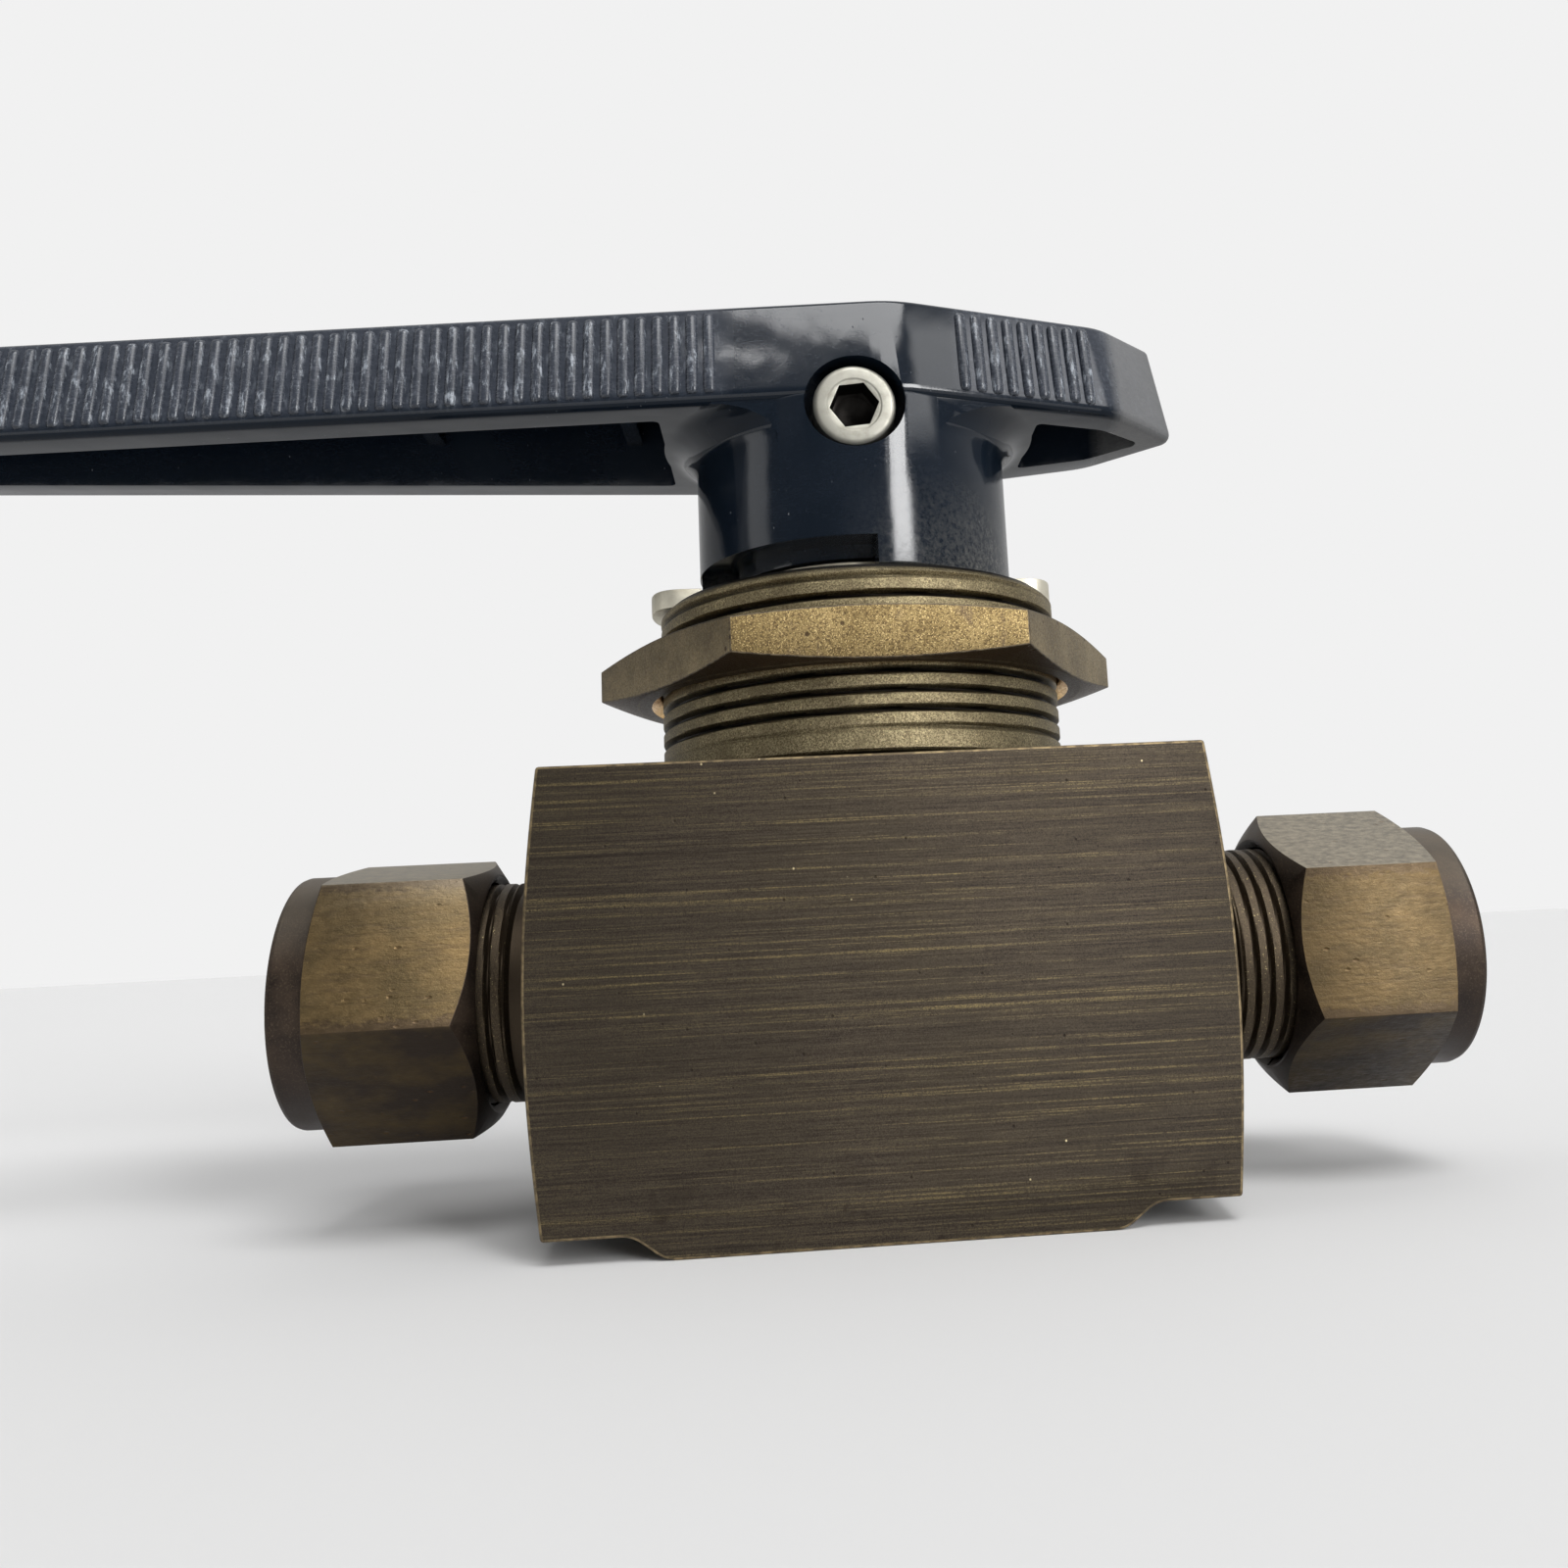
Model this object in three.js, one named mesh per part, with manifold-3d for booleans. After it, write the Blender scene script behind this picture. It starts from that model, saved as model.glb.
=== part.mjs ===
// A two-way panel-mount ball valve in brass, with a compression tube fitting at each end and a
// quarter-turn lever. Millimetres, +Z up. The stem turns about the Z axis, the flow runs along X,
// and the origin is the centre of the flat base, straight below the stem.
import * as THREE from "three";
import { mergeVertices } from "three/addons/utils/BufferGeometryUtils.js";
import Module from "manifold-3d";

const wasm = await Module();
wasm.setup();

// ---- driving dimensions ----
const DEG = Math.PI / 180;
const GAP = 0.3; // between pieces that touch
const FLOW_Z = 19.7; // flow axis above the base

const BODY = {
  depth: 38.1, // square bar, front to back
  top: FLOW_Z + 17.5,
  frontHalf: 27.7, // half length on the front face, level with the flow axis
  endSlope: 0.18, // the end faces are turned to this shallow cone
  footHalf: 17.3, // the flat foot in the middle of the base
  footHeight: 1.86, // the base is this much higher towards its ends
  footSlope: 2.5,
};
const BORE = { r: 12, bottom: FLOW_Z - 12.6, ledge: FLOW_Z + 12.4, plugR: 14.3 };
const STUB = { end: 42, crestR: 9.52, rootR: 8.95, pitch: 1.27, reliefR: 8.9, reliefEnd: 30.7 };
const TUBE = { r: 6.1, depth: 26.9, flowR: 4.75, mouthR: 7.6, mouthDepth: 4 };
const NUT = {
  flats: 22,
  length: 16.6,
  collarR: 10.85,
  collar: 2.9,
  outerCone: 0.35, // how far the cone on the corners runs along the axis for each unit of radius
  innerCone: 0.65,
  shoulder: 3.2,
  ferruleR: 8,
  ferruleEnd: 6.5,
  threadR: 9.7,
  innerR: 10.4,
  leftEnd: -49.7,
  rightEnd: 52.2,
  leftTurn: -20.3,
  rightTurn: -4.2,
};
const NECK = {
  bottom: BODY.top + GAP,
  top: FLOW_Z + 33.35,
  crestR: 18.25,
  rootR: 17.6,
  pitch: 1.5875,
  plain: 1.5, // unthreaded band at the foot
  bossR: 8.5,
  bossTop: FLOW_Z + 36.4,
  bossFlat: 7.4,
  stemR: 5.4,
};
const PANEL_NUT = { flats: 41.3, bottom: FLOW_Z + 24.8, height: 4.45, boreR: 18.45, turn: 2.3 };
const STOP = {
  bottom: NECK.top + GAP / 2,
  height: 1.7,
  ringR: 11.7,
  armHalf: 0.9,
  earHalf: 4.4,
  leftReach: 19.1, // from the stem axis to the end of each ear
  rightReach: 18.3,
};
const BALL_R = 7.8;
const BALL_ACROSS = [90, 0, 0]; // turns a three.js sphere's poles onto the stem axis
const STEM = { r: 5, top: FLOW_Z + 53.5, flat: 4.3, flatFrom: FLOW_Z + 42, trunnionR: 3.9 };
const PACKING = { r: 11.7, half: 9.3, seatR: 8.1 };
const SCREW = {
  z: FLOW_Z + 49,
  face: 12.9, // the head's face is this far in front of the stem axis
  headR: 3.65,
  head: 3.8,
  recessR: 4.4,
  shankR: 2.3,
  tip: 4.75,
  socket: 3.8,
};
const HUB = {
  r: 14.55,
  bottom: FLOW_Z + 34.2,
  skirtR: 12.4,
  skirtTop: FLOW_Z + 35.6,
  slotTop: FLOW_Z + 36.8,
  pocketR: 9.1, // clears the boss of the packing bolt
  pocketTop: FLOW_Z + 38.2,
};
const INSERT = { r: 8, bottom: FLOW_Z + 38, top: FLOW_Z + 54 };
const LEVER = {
  bottom: FLOW_Z + 49.5,
  top: FLOW_Z + 59.1,
  roof: FLOW_Z + 56.4,
  draft: 1.9, // the sides lean in by this much from the bottom to the top
  wall: 3.6,
  web: 17.3, // the two cross walls beside the hub
  edge: 0.7,
};
// The lever's plan, as [x, half width] along its bottom edge.
const LEVER_PLAN = [
  [-101.6, 2.4],
  [-97, 6.15],
  [3.8, 14.2],
  [24.5, 7.6],
  [31.6, 0.6],
];
const CROSS_RIBS = [-21.2, -40.4, -59.6, -78.8];
const CROSS_RIB = { thick: 1.5, bottom: FLOW_Z + 53.5 };

// ---- materials ----
const finish = (color, roughness, metalness) =>
  new THREE.MeshStandardMaterial({ color, roughness, metalness });
const AGED_BRASS = finish(0x5b4d38, 0.5, 0.9);
const NUT_BRASS = finish(0x6f5d3f, 0.45, 0.9);
const NECK_BRASS = finish(0x857a5e, 0.45, 0.9);
const BRIGHT_BRASS = finish(0xb08d4a, 0.35, 1);
const STEEL = finish(0xa8a598, 0.4, 0.9);
const BLACK_NYLON = finish(0x14161c, 0.22, 0);
const PTFE = finish(0xe8e6de, 0.6, 0);

// ---- solids from three.js geometry ----
function solidOf(geometry) {
  const flat = geometry.index ? geometry.toNonIndexed() : geometry;
  const bare = new THREE.BufferGeometry().setAttribute("position", flat.getAttribute("position"));
  const merged = mergeVertices(bare, 1e-4);
  const position = merged.attributes.position.array;
  const corners = [];
  let volume = 0;
  const at = (i) => new THREE.Vector3().fromArray(position, 3 * i);
  for (let i = 0; i < merged.index.count; i += 3) {
    const [a, b, c] = merged.index.array.slice(i, i + 3);
    if (a === b || b === c || c === a) continue;
    corners.push([a, b, c]);
    volume += at(a).dot(at(b).cross(at(c)));
  }
  if (volume < 0) corners.forEach((t) => t.reverse());
  const triVerts = new Uint32Array(corners.flat());
  return new wasm.Manifold(new wasm.Mesh({ numProp: 3, vertProperties: position, triVerts }));
}

function geometryOf(solid) {
  const mesh = solid.getMesh();
  return new THREE.BufferGeometry()
    .setAttribute("position", new THREE.BufferAttribute(new Float32Array(mesh.vertProperties), 3))
    .setIndex(new THREE.BufferAttribute(new Uint32Array(mesh.triVerts), 1));
}

const group = new THREE.Group();
function piece(name, solid, material) {
  const geometry = geometryOf(solid);
  geometry.computeVertexNormals();
  const mesh = new THREE.Mesh(geometry, material);
  mesh.name = name;
  group.add(mesh);
  return mesh;
}

// A three.js axis is Y: this lays a geometry along the axis asked for.
function along(axis, geometry) {
  if (axis === "z") geometry.rotateX(Math.PI / 2);
  if (axis === "x") geometry.rotateZ(-Math.PI / 2);
  return geometry;
}

// A turned solid from a profile of [radius, distance along the axis].
function turned(axis, profile, segments = 32) {
  const points = profile.map(([r, s]) => new THREE.Vector2(r, s));
  return solidOf(along(axis, new THREE.LatheGeometry(points, segments)));
}

// A round bar or a ring between two distances along the axis.
function bar(axis, r, from, to, segments = 32) {
  return turned(axis, [[0, from], [r, from], [r, to], [0, to]], segments);
}

function ring(axis, inner, outer, from, to, segments = 32) {
  return turned(axis, [[inner, from], [outer, from], [outer, to], [inner, to], [inner, from]], segments);
}

function hexBar(axis, flats, from, to) {
  const r = flats / Math.sqrt(3);
  const geometry = new THREE.CylinderGeometry(r, r, to - from, 6).translate(0, (from + to) / 2, 0);
  return solidOf(along(axis, geometry));
}

function block(x0, x1, y0, y1, z0, z1) {
  const geometry = new THREE.BoxGeometry(x1 - x0, y1 - y0, z1 - z0);
  return solidOf(geometry.translate((x0 + x1) / 2, (y0 + y1) / 2, (z0 + z1) / 2));
}

// The ridges of a screw thread as points of a turned profile, each ridge a ring of its own.
function threadRidges(rootR, crestR, pitch, from, to) {
  const count = Math.round((to - from) / pitch);
  const step = (to - from) / count;
  const points = [];
  for (let i = 0; i < count; i++) {
    points.push([rootR, from + i * step]);
    points.push([crestR, from + (i + 0.5) * step]);
  }
  points.push([rootR, to]);
  return points;
}

// A solid between two plan outlines of the same number of points, each at its own height.
function lofted(outlines) {
  const count = outlines[0].points.length;
  const points = outlines.flatMap(({ points: plan, z }) => plan.flatMap(([x, y]) => [x, y, z]));
  const corners = [];
  for (let level = 0; level + 1 < outlines.length; level++) {
    for (let i = 0; i < count; i++) {
      const a = level * count + i;
      const b = level * count + ((i + 1) % count);
      corners.push(a, b, b + count, a, b + count, a + count);
    }
  }
  const cap = (plan) => {
    const flat = plan.map(([x, y]) => new THREE.Vector2(x, y));
    return THREE.ShapeUtils.triangulateShape(flat, []);
  };
  const last = (outlines.length - 1) * count;
  cap(outlines[0].points).forEach(([a, b, c]) => corners.push(c, b, a));
  cap(outlines.at(-1).points).forEach(([a, b, c]) => corners.push(last + a, last + b, last + c));
  const geometry = new THREE.BufferGeometry()
    .setAttribute("position", new THREE.BufferAttribute(new Float32Array(points), 3))
    .setIndex(corners);
  return solidOf(geometry);
}

// ---- body ----
const endFace = (r) => BODY.frontHalf - BODY.endSlope * (r - BODY.depth / 2);

function bodyBlock() {
  const { depth, top, footHalf, footHeight, footSlope } = BODY;
  const side = [
    [footHalf, 0],
    [footHalf + footSlope, footHeight],
    [40, footHeight],
    [40, top],
  ];
  const outline = [...side, ...side.map(([x, z]) => [-x, z]).reverse()];
  const front = new THREE.Shape(outline.map(([x, z]) => new THREE.Vector2(x, z)));
  const geometry = new THREE.ExtrudeGeometry(front, { depth, bevelEnabled: false });
  const stock = solidOf(geometry.rotateX(Math.PI / 2).translate(0, depth / 2, 0));
  const clear = 30; // past the corners of the bar
  const ends = [[0, -endFace(0)], [clear, -endFace(clear)], [clear, endFace(clear)], [0, endFace(0)]];
  return stock.intersect(turned("x", ends, 64).translate([0, 0, FLOW_Z]));
}

// One threaded stub, on the +X side, on the flow axis.
function stub() {
  const root = endFace(0) - 4;
  return turned("x", [
    [0, root],
    [STUB.reliefR, root],
    [STUB.reliefR, STUB.reliefEnd],
    ...threadRidges(STUB.rootR, STUB.crestR, STUB.pitch, STUB.reliefEnd + 0.3, STUB.end - 0.4),
    [STUB.rootR - 0.3, STUB.end],
    [0, STUB.end],
  ], 24);
}

// What is bored out of one end: the tube socket with its ferrule seat, then the flow passage.
function endBore() {
  return turned("x", [
    [0, 0],
    [TUBE.flowR, 0],
    [TUBE.flowR, TUBE.depth],
    [TUBE.r, TUBE.depth],
    [TUBE.r, STUB.end - TUBE.mouthDepth],
    [TUBE.mouthR, STUB.end],
    [TUBE.mouthR, STUB.end + 5],
    [0, STUB.end + 5],
  ], 28);
}

function valveBody() {
  const half = (solid) => solid.add(solid.rotate([0, 0, 180])).translate([0, 0, FLOW_Z]);
  const chamber = turned("z", [
    [0, BORE.bottom],
    [BORE.r, BORE.bottom],
    [BORE.r, BORE.ledge],
    [BORE.plugR, BORE.ledge],
    [BORE.plugR, BODY.top + 1],
    [0, BODY.top + 1],
  ]);
  return bodyBlock().add(half(stub())).subtract(half(endBore())).subtract(chamber);
}
piece("valve_body", valveBody(), AGED_BRASS);

// ---- packing bolt: its threaded neck carries the panel nut ----
function packingBolt() {
  const ridgesFrom = NECK.bottom + NECK.plain;
  const neck = turned("z", [
    [0, BORE.ledge + GAP],
    [BORE.plugR - GAP, BORE.ledge + GAP],
    [BORE.plugR - GAP, NECK.bottom],
    [NECK.crestR, NECK.bottom],
    [NECK.crestR, ridgesFrom],
    ...threadRidges(NECK.rootR, NECK.crestR, NECK.pitch, ridgesFrom + 0.3, NECK.top - 0.4),
    [NECK.rootR - 0.3, NECK.top],
    [0, NECK.top],
  ], 36);
  const flats = block(-NECK.bossFlat, NECK.bossFlat, -12, 12, NECK.top - 1, NECK.bossTop);
  const boss = bar("z", NECK.bossR, NECK.top - 1, NECK.bossTop).intersect(flats);
  const bore = bar("z", NECK.stemR, BORE.ledge - 1, NECK.bossTop + 1, 28);
  return neck.add(boss).subtract(bore);
}
piece("packing_bolt", packingBolt(), NECK_BRASS);

function panelNut() {
  const { flats, height, boreR } = PANEL_NUT;
  const half = height / 2;
  const edge = 0.95; // how far the corner chamfers have dropped by the clear radius
  const clear = flats / Math.sqrt(3) + 0.6;
  const envelope = turned("z", [
    [0, -half],
    [flats / 2 - 0.2, -half],
    [clear, edge - half],
    [clear, half - edge],
    [flats / 2 - 0.2, half],
    [0, half],
  ], 48);
  const lead = 0.8; // countersink at both ends of the bore
  const bore = turned("z", [
    [0, -half - 1],
    [boreR + lead + 1, -half - 1],
    [boreR, lead - half],
    [boreR, half - lead],
    [boreR + lead + 1, half + 1],
    [0, half + 1],
  ], 36);
  return hexBar("z", flats, -half, half).rotate([0, 0, 30]).intersect(envelope).subtract(bore);
}
const panelNutMesh = piece("panel_nut", panelNut(), NUT_BRASS);
panelNutMesh.position.z = PANEL_NUT.bottom + PANEL_NUT.height / 2;
panelNutMesh.rotation.z = PANEL_NUT.turn * DEG;

// ---- stop plate: a ring keyed to the boss, with an arm and a rounded ear on each side ----
function stopEar(reach) {
  const { height, armHalf, earHalf } = STOP;
  const round = reach - 3; // the outer corners are rounded from here
  const outline = new THREE.Shape();
  outline.moveTo(0, -earHalf);
  outline.lineTo(round, -earHalf);
  outline.quadraticCurveTo(reach, -earHalf, reach, 0);
  outline.quadraticCurveTo(reach, earHalf, round, earHalf);
  outline.lineTo(0, earHalf);
  const options = { depth: height, bevelEnabled: false, curveSegments: 5 };
  const clear = bar("z", HUB.r + GAP, -1, height + 1, 64); // the hub turns inside the ears
  const ear = solidOf(new THREE.ExtrudeGeometry(outline, options)).subtract(clear);
  return ear.add(block(0, HUB.r + 2, -armHalf, armHalf, 0, height));
}

function stopPlate() {
  const { leftReach, rightReach, ringR, height } = STOP;
  const keyed = NECK.bossFlat + GAP;
  const key = block(-keyed, keyed, -12, 12, -1, height + 1);
  const hole = bar("z", NECK.bossR + GAP, -1, height + 1).intersect(key);
  const ears = stopEar(rightReach).add(stopEar(leftReach).rotate([0, 0, 180]));
  const plate = bar("z", ringR, 0, height).add(ears).subtract(hole);
  return plate.translate([0, 0, STOP.bottom]);
}
piece("stop_plate", stopPlate(), STEEL);

// ---- ball stem and the packing round it ----
const sphere = (r) => solidOf(new THREE.SphereGeometry(r, 24, 14)).rotate(BALL_ACROSS);

function ballStem() {
  const ball = sphere(BALL_R).translate([0, 0, FLOW_Z]);
  const shaft = turned("z", [
    [0, BORE.bottom + GAP],
    [STEM.trunnionR, BORE.bottom + GAP],
    [STEM.trunnionR, FLOW_Z],
    [STEM.r, FLOW_Z],
    [STEM.r, STEM.top - 0.6],
    [STEM.r - 0.6, STEM.top],
    [0, STEM.top],
  ], 28);
  const port = bar("x", TUBE.flowR, -BALL_R - 1, BALL_R + 1, 24).translate([0, 0, FLOW_Z]);
  const flat = block(-8, 8, -8, -STEM.flat, STEM.flatFrom, STEM.top + 1);
  return ball.add(shaft).subtract(port).subtract(flat);
}
piece("ball_stem", ballStem(), STEEL);

const SIDE_RING = { inner: TUBE.flowR + 0.15, outer: 6.1, from: 7.4, shellR: 10.4 };
const SIDE_DISC = { shellInner: 10.7, r: 7.4 };

function packing() {
  const disc = SIDE_DISC.r + GAP;
  const core = bar("z", SIDE_DISC.shellInner - GAP / 2, -20, 20);
  const pocket = bar("x", disc, -20, 20).subtract(core);
  const middle = block(-7.1, 7.1, -20, 20, -20, 20);
  const recess = bar("x", SIDE_RING.outer + 0.2, -20, 20).subtract(middle);
  return bar("z", PACKING.r, -PACKING.half, PACKING.half)
    .subtract(sphere(PACKING.seatR))
    .subtract(bar("z", STEM.r + GAP, 0, 20, 28))
    .subtract(bar("z", STEM.trunnionR + GAP, -20, 0, 24))
    .subtract(bar("x", TUBE.flowR + 0.15, -20, 20, 24))
    .subtract(pocket)
    .subtract(recess);
}
const upperHalf = block(-20, 20, -20, 20, GAP / 2, 20);
const lowerHalf = block(-20, 20, -20, 20, -20, -GAP / 2);
piece("upper_packing", packing().intersect(upperHalf).translate([0, 0, FLOW_Z]), PTFE);
piece("lower_packing", packing().intersect(lowerHalf).translate([0, 0, FLOW_Z]), PTFE);

function sideDisc() {
  return bar("z", PACKING.r, -9, 9)
    .subtract(bar("z", SIDE_DISC.shellInner, -10, 10))
    .intersect(ring("x", TUBE.flowR + 0.15, SIDE_DISC.r, 5, 20));
}

function sideRing() {
  const { inner, outer, from, shellR } = SIDE_RING;
  return ring("x", inner, outer, from, 20).intersect(bar("z", shellR, -9, 9));
}

for (const [side, turn] of [["left", Math.PI], ["right", 0]]) {
  for (const [name, solid] of [["side_disc", sideDisc()], ["side_ring", sideRing()]]) {
    const mesh = piece(`${name}_${side}`, solid, STEEL);
    mesh.position.z = FLOW_Z;
    mesh.rotation.z = turn;
  }
}

const glandFrom = PACKING.half + GAP;
const lowerGland = ring("z", STEM.trunnionR + GAP, PACKING.r, BORE.bottom + GAP, FLOW_Z - glandFrom);
const upperGland = ring("z", STEM.r + GAP, PACKING.r, FLOW_Z + glandFrom, BORE.ledge - 0.1);
piece("lower_gland", lowerGland, STEEL);
piece("upper_gland", upperGland, STEEL);

// A wavy ring of spring steel that earths the stem to the packing bolt.
function groundSpring() {
  const [inner, outer, thick, wave, lobes, segments] = [STEM.r + GAP, 7.2, 0.4, 0.3, 3, 36];
  const points = [];
  const corners = [];
  for (let i = 0; i < segments; i++) {
    const a = (2 * Math.PI * i) / segments;
    const z = wave * Math.cos(lobes * a);
    for (const [r, dz] of [[inner, 0], [outer, 0], [outer, thick], [inner, thick]]) {
      points.push(r * Math.cos(a), r * Math.sin(a), z + dz);
    }
    const next = (i + 1) % segments;
    for (let k = 0; k < 4; k++) {
      const [p, q, r, s] = [4 * i + k, 4 * i + ((k + 1) % 4), 4 * next + ((k + 1) % 4), 4 * next + k];
      corners.push(p, r, q, p, s, r);
    }
  }
  const geometry = new THREE.BufferGeometry()
    .setAttribute("position", new THREE.BufferAttribute(new Float32Array(points), 3))
    .setIndex(corners);
  return solidOf(geometry);
}
const spring = piece("ground_spring", groundSpring(), STEEL);
spring.position.z = NECK.bossTop + 0.65;

// ---- lever ----
function halfWidth(x) {
  const next = LEVER_PLAN.findIndex(([at]) => at >= x);
  const [[x0, w0], [x1, w1]] = [LEVER_PLAN[Math.max(next, 1) - 1], LEVER_PLAN[Math.max(next, 1)]];
  return w0 + ((w1 - w0) * (x - x0)) / (x1 - x0);
}

// How far each corner of the plan moves along X, and in towards the middle, for each unit of inset.
const OUTLINE_SHIFT = [0.9, 0.2, 0, -0.3, -0.9];
const OUTLINE_PULL = [0.5, 1, 1, 1, 0.3];

// The lever's outline, pulled in by the same amount all round.
function leverOutline(inset) {
  const side = LEVER_PLAN.map(([x, w], i) => {
    return [x + inset * OUTLINE_SHIFT[i], Math.max(w - inset * OUTLINE_PULL[i], 0.1)];
  });
  return [...side.map(([x, w]) => [x, -w]), ...side.map(([x, w]) => [x, w]).reverse()];
}

const lean = (z) => (LEVER.draft * (z - LEVER.bottom)) / (LEVER.top - LEVER.bottom);

function leverShell() {
  const { bottom, top, edge } = LEVER;
  return lofted([
    { points: leverOutline(edge * 0.6), z: bottom },
    { points: leverOutline(lean(bottom + edge)), z: bottom + edge },
    { points: leverOutline(lean(top - edge)), z: top - edge },
    { points: leverOutline(lean(top) + edge * 0.9), z: top },
  ]);
}

// A channel open below between two stations, inside the side walls.
function channel(stations) {
  const outline = (z) => {
    const inset = LEVER.wall + lean(z);
    const side = stations.map((x) => [x, Math.max(halfWidth(x) - inset, 0.4)]);
    return [...side.map(([x, w]) => [x, -w]), ...side.map(([x, w]) => [x, w]).reverse()];
  };
  return lofted([
    { points: outline(LEVER.bottom), z: LEVER.bottom - 1 },
    { points: outline(LEVER.roof), z: LEVER.roof },
  ]);
}

function sector(from, to, inner, outer, bottom, top) {
  const shape = new THREE.Shape();
  shape.absarc(0, 0, outer, from * DEG, to * DEG, false);
  shape.absarc(0, 0, inner, to * DEG, from * DEG, true);
  const depth = top - bottom;
  const geometry = new THREE.ExtrudeGeometry(shape, { depth, bevelEnabled: false, curveSegments: 12 });
  return solidOf(geometry.translate(0, 0, bottom));
}

function handleLever() {
  let lever = leverShell();
  const tail = LEVER_PLAN[0][0] + LEVER.wall;
  const nose = LEVER_PLAN.at(-1)[0] - LEVER.wall;
  lever = lever.subtract(channel([tail, LEVER_PLAN[1][0] + 1, -LEVER.web]));
  lever = lever.subtract(channel([LEVER.web, LEVER_PLAN[3][0] - 0.6, nose]));
  for (const x of CROSS_RIBS) {
    const half = halfWidth(x) - LEVER.wall + 0.2;
    const [from, to] = [x - CROSS_RIB.thick / 2, x + CROSS_RIB.thick / 2];
    lever = lever.add(block(from, to, -half, half, CROSS_RIB.bottom, LEVER.roof + 0.5));
  }
  const hub = bar("z", HUB.r, HUB.bottom, LEVER.bottom + 1, 48);
  const skirt = bar("z", HUB.skirtR, HUB.bottom - 1, HUB.skirtTop, 48);
  const pocket = bar("z", HUB.pocketR, HUB.skirtTop - 1, HUB.pocketTop);
  const socket = bar("z", INSERT.r + 0.2, HUB.pocketTop - 1, INSERT.top + 0.3);
  lever = lever.add(hub).subtract(skirt).subtract(pocket).subtract(socket);
  const earAngle = Math.asin((STOP.armHalf + 0.25) / HUB.skirtR) / DEG;
  for (const start of [180, 0]) {
    const [from, to] = [start - earAngle, start + 90 + earAngle];
    const slot = sector(from, to, HUB.skirtR - 1, HUB.r + 1, HUB.bottom - 1, HUB.slotTop);
    lever = lever.subtract(slot);
  }
  const counterbore = bar("y", SCREW.recessR, -20, -SCREW.face + SCREW.head + GAP, 28);
  const through = bar("y", SCREW.shankR + GAP, -20, 0, 20);
  return lever.subtract(counterbore.add(through).translate([0, 0, SCREW.z]));
}
piece("handle_lever", handleLever(), BLACK_NYLON);

// The insert moulded into the hub: it grips the stem's flat and takes the screw.
function handleInsert() {
  const waist = INSERT.bottom + 1.5; // a groove that keeps the insert in the moulding
  const outside = turned("z", [
    [0, INSERT.bottom],
    [INSERT.r, INSERT.bottom],
    [INSERT.r, waist],
    [INSERT.r - 0.8, waist + 0.8],
    [INSERT.r - 0.8, waist + 2],
    [INSERT.r, waist + 2.8],
    [INSERT.r, INSERT.top],
    [0, INSERT.top],
  ]);
  const bore = bar("z", STEM.r + 0.2, INSERT.bottom - 1, INSERT.top + 1, 28);
  const keep = block(-9, 9, -9, -STEM.flat - 0.2, STEM.flatFrom + 0.3, INSERT.top);
  const tapped = bar("y", SCREW.shankR + 0.2, -12, 0, 20).translate([0, 0, SCREW.z]);
  return outside.subtract(bore.subtract(keep)).subtract(tapped);
}
piece("handle_insert", handleInsert(), BRIGHT_BRASS);

function handleScrew() {
  const { z, face, headR, head, shankR, tip, socket } = SCREW;
  const screw = turned("y", [
    [0, -face],
    [headR - 0.35, -face],
    [headR, 0.35 - face],
    [headR, head - face],
    [shankR, head - face],
    [shankR, -tip - 0.5],
    [shankR - 0.5, -tip],
    [0, -tip],
  ], 28);
  return screw.subtract(hexBar("y", socket, -face - 1, 2.4 - face)).translate([0, 0, z]);
}
piece("handle_screw", handleScrew(), STEEL);

// ---- tube fittings: the nut and ferrules, with X pointing in from the nut's outer end ----
function tubeNut() {
  const { flats, length, collarR, collar, outerCone, innerCone } = NUT;
  const { shoulder, ferruleR, ferruleEnd, threadR, innerR } = NUT;
  const clear = flats / Math.sqrt(3) + 0.5;
  const envelope = turned("x", [
    [0, 0],
    [collarR - 0.5, 0],
    [collarR, 0.5],
    [collarR, collar],
    [clear, collar + (clear - collarR) * outerCone],
    [clear, length - (clear - innerR) * innerCone],
    [innerR, length],
    [0, length],
  ], 36);
  const bore = turned("x", [
    [0, -1],
    [TUBE.r + 0.9, -1],
    [TUBE.r + 0.1, 0.7],
    [TUBE.r + 0.1, shoulder],
    [ferruleR, shoulder + 1],
    [ferruleR, ferruleEnd],
    [threadR, ferruleEnd + 0.8],
    [threadR, length - 0.5],
    [threadR + 0.9, length + 0.5],
    [0, length + 0.5],
  ], 28);
  return hexBar("x", flats, 0, length).intersect(envelope).subtract(bore);
}

function frontFerrule() {
  const [nose, seat, back] = [10.6, 7.5, 6.6];
  const inner = TUBE.r + 0.05;
  return turned("x", [
    [inner, nose],
    [inner + 0.2, nose],
    [7.35, seat + 0.5],
    [7.6, seat],
    [7.6, back],
    [7, back],
    [inner, back + 1],
    [inner, nose],
  ], 24);
}

function backFerrule() {
  const [front, back] = [7.2, 4.1];
  return turned("x", [
    [TUBE.r + 0.05, front],
    [TUBE.r + 0.3, front],
    [6.8, front - 1],
    [6.8, front - 1.6],
    [7.5, front - 2.1],
    [7.2, back + 0.2],
    [TUBE.r + 0.6, back],
    [TUBE.r + 0.05, back + 0.2],
    [TUBE.r + 0.05, front],
  ], 24);
}

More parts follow.
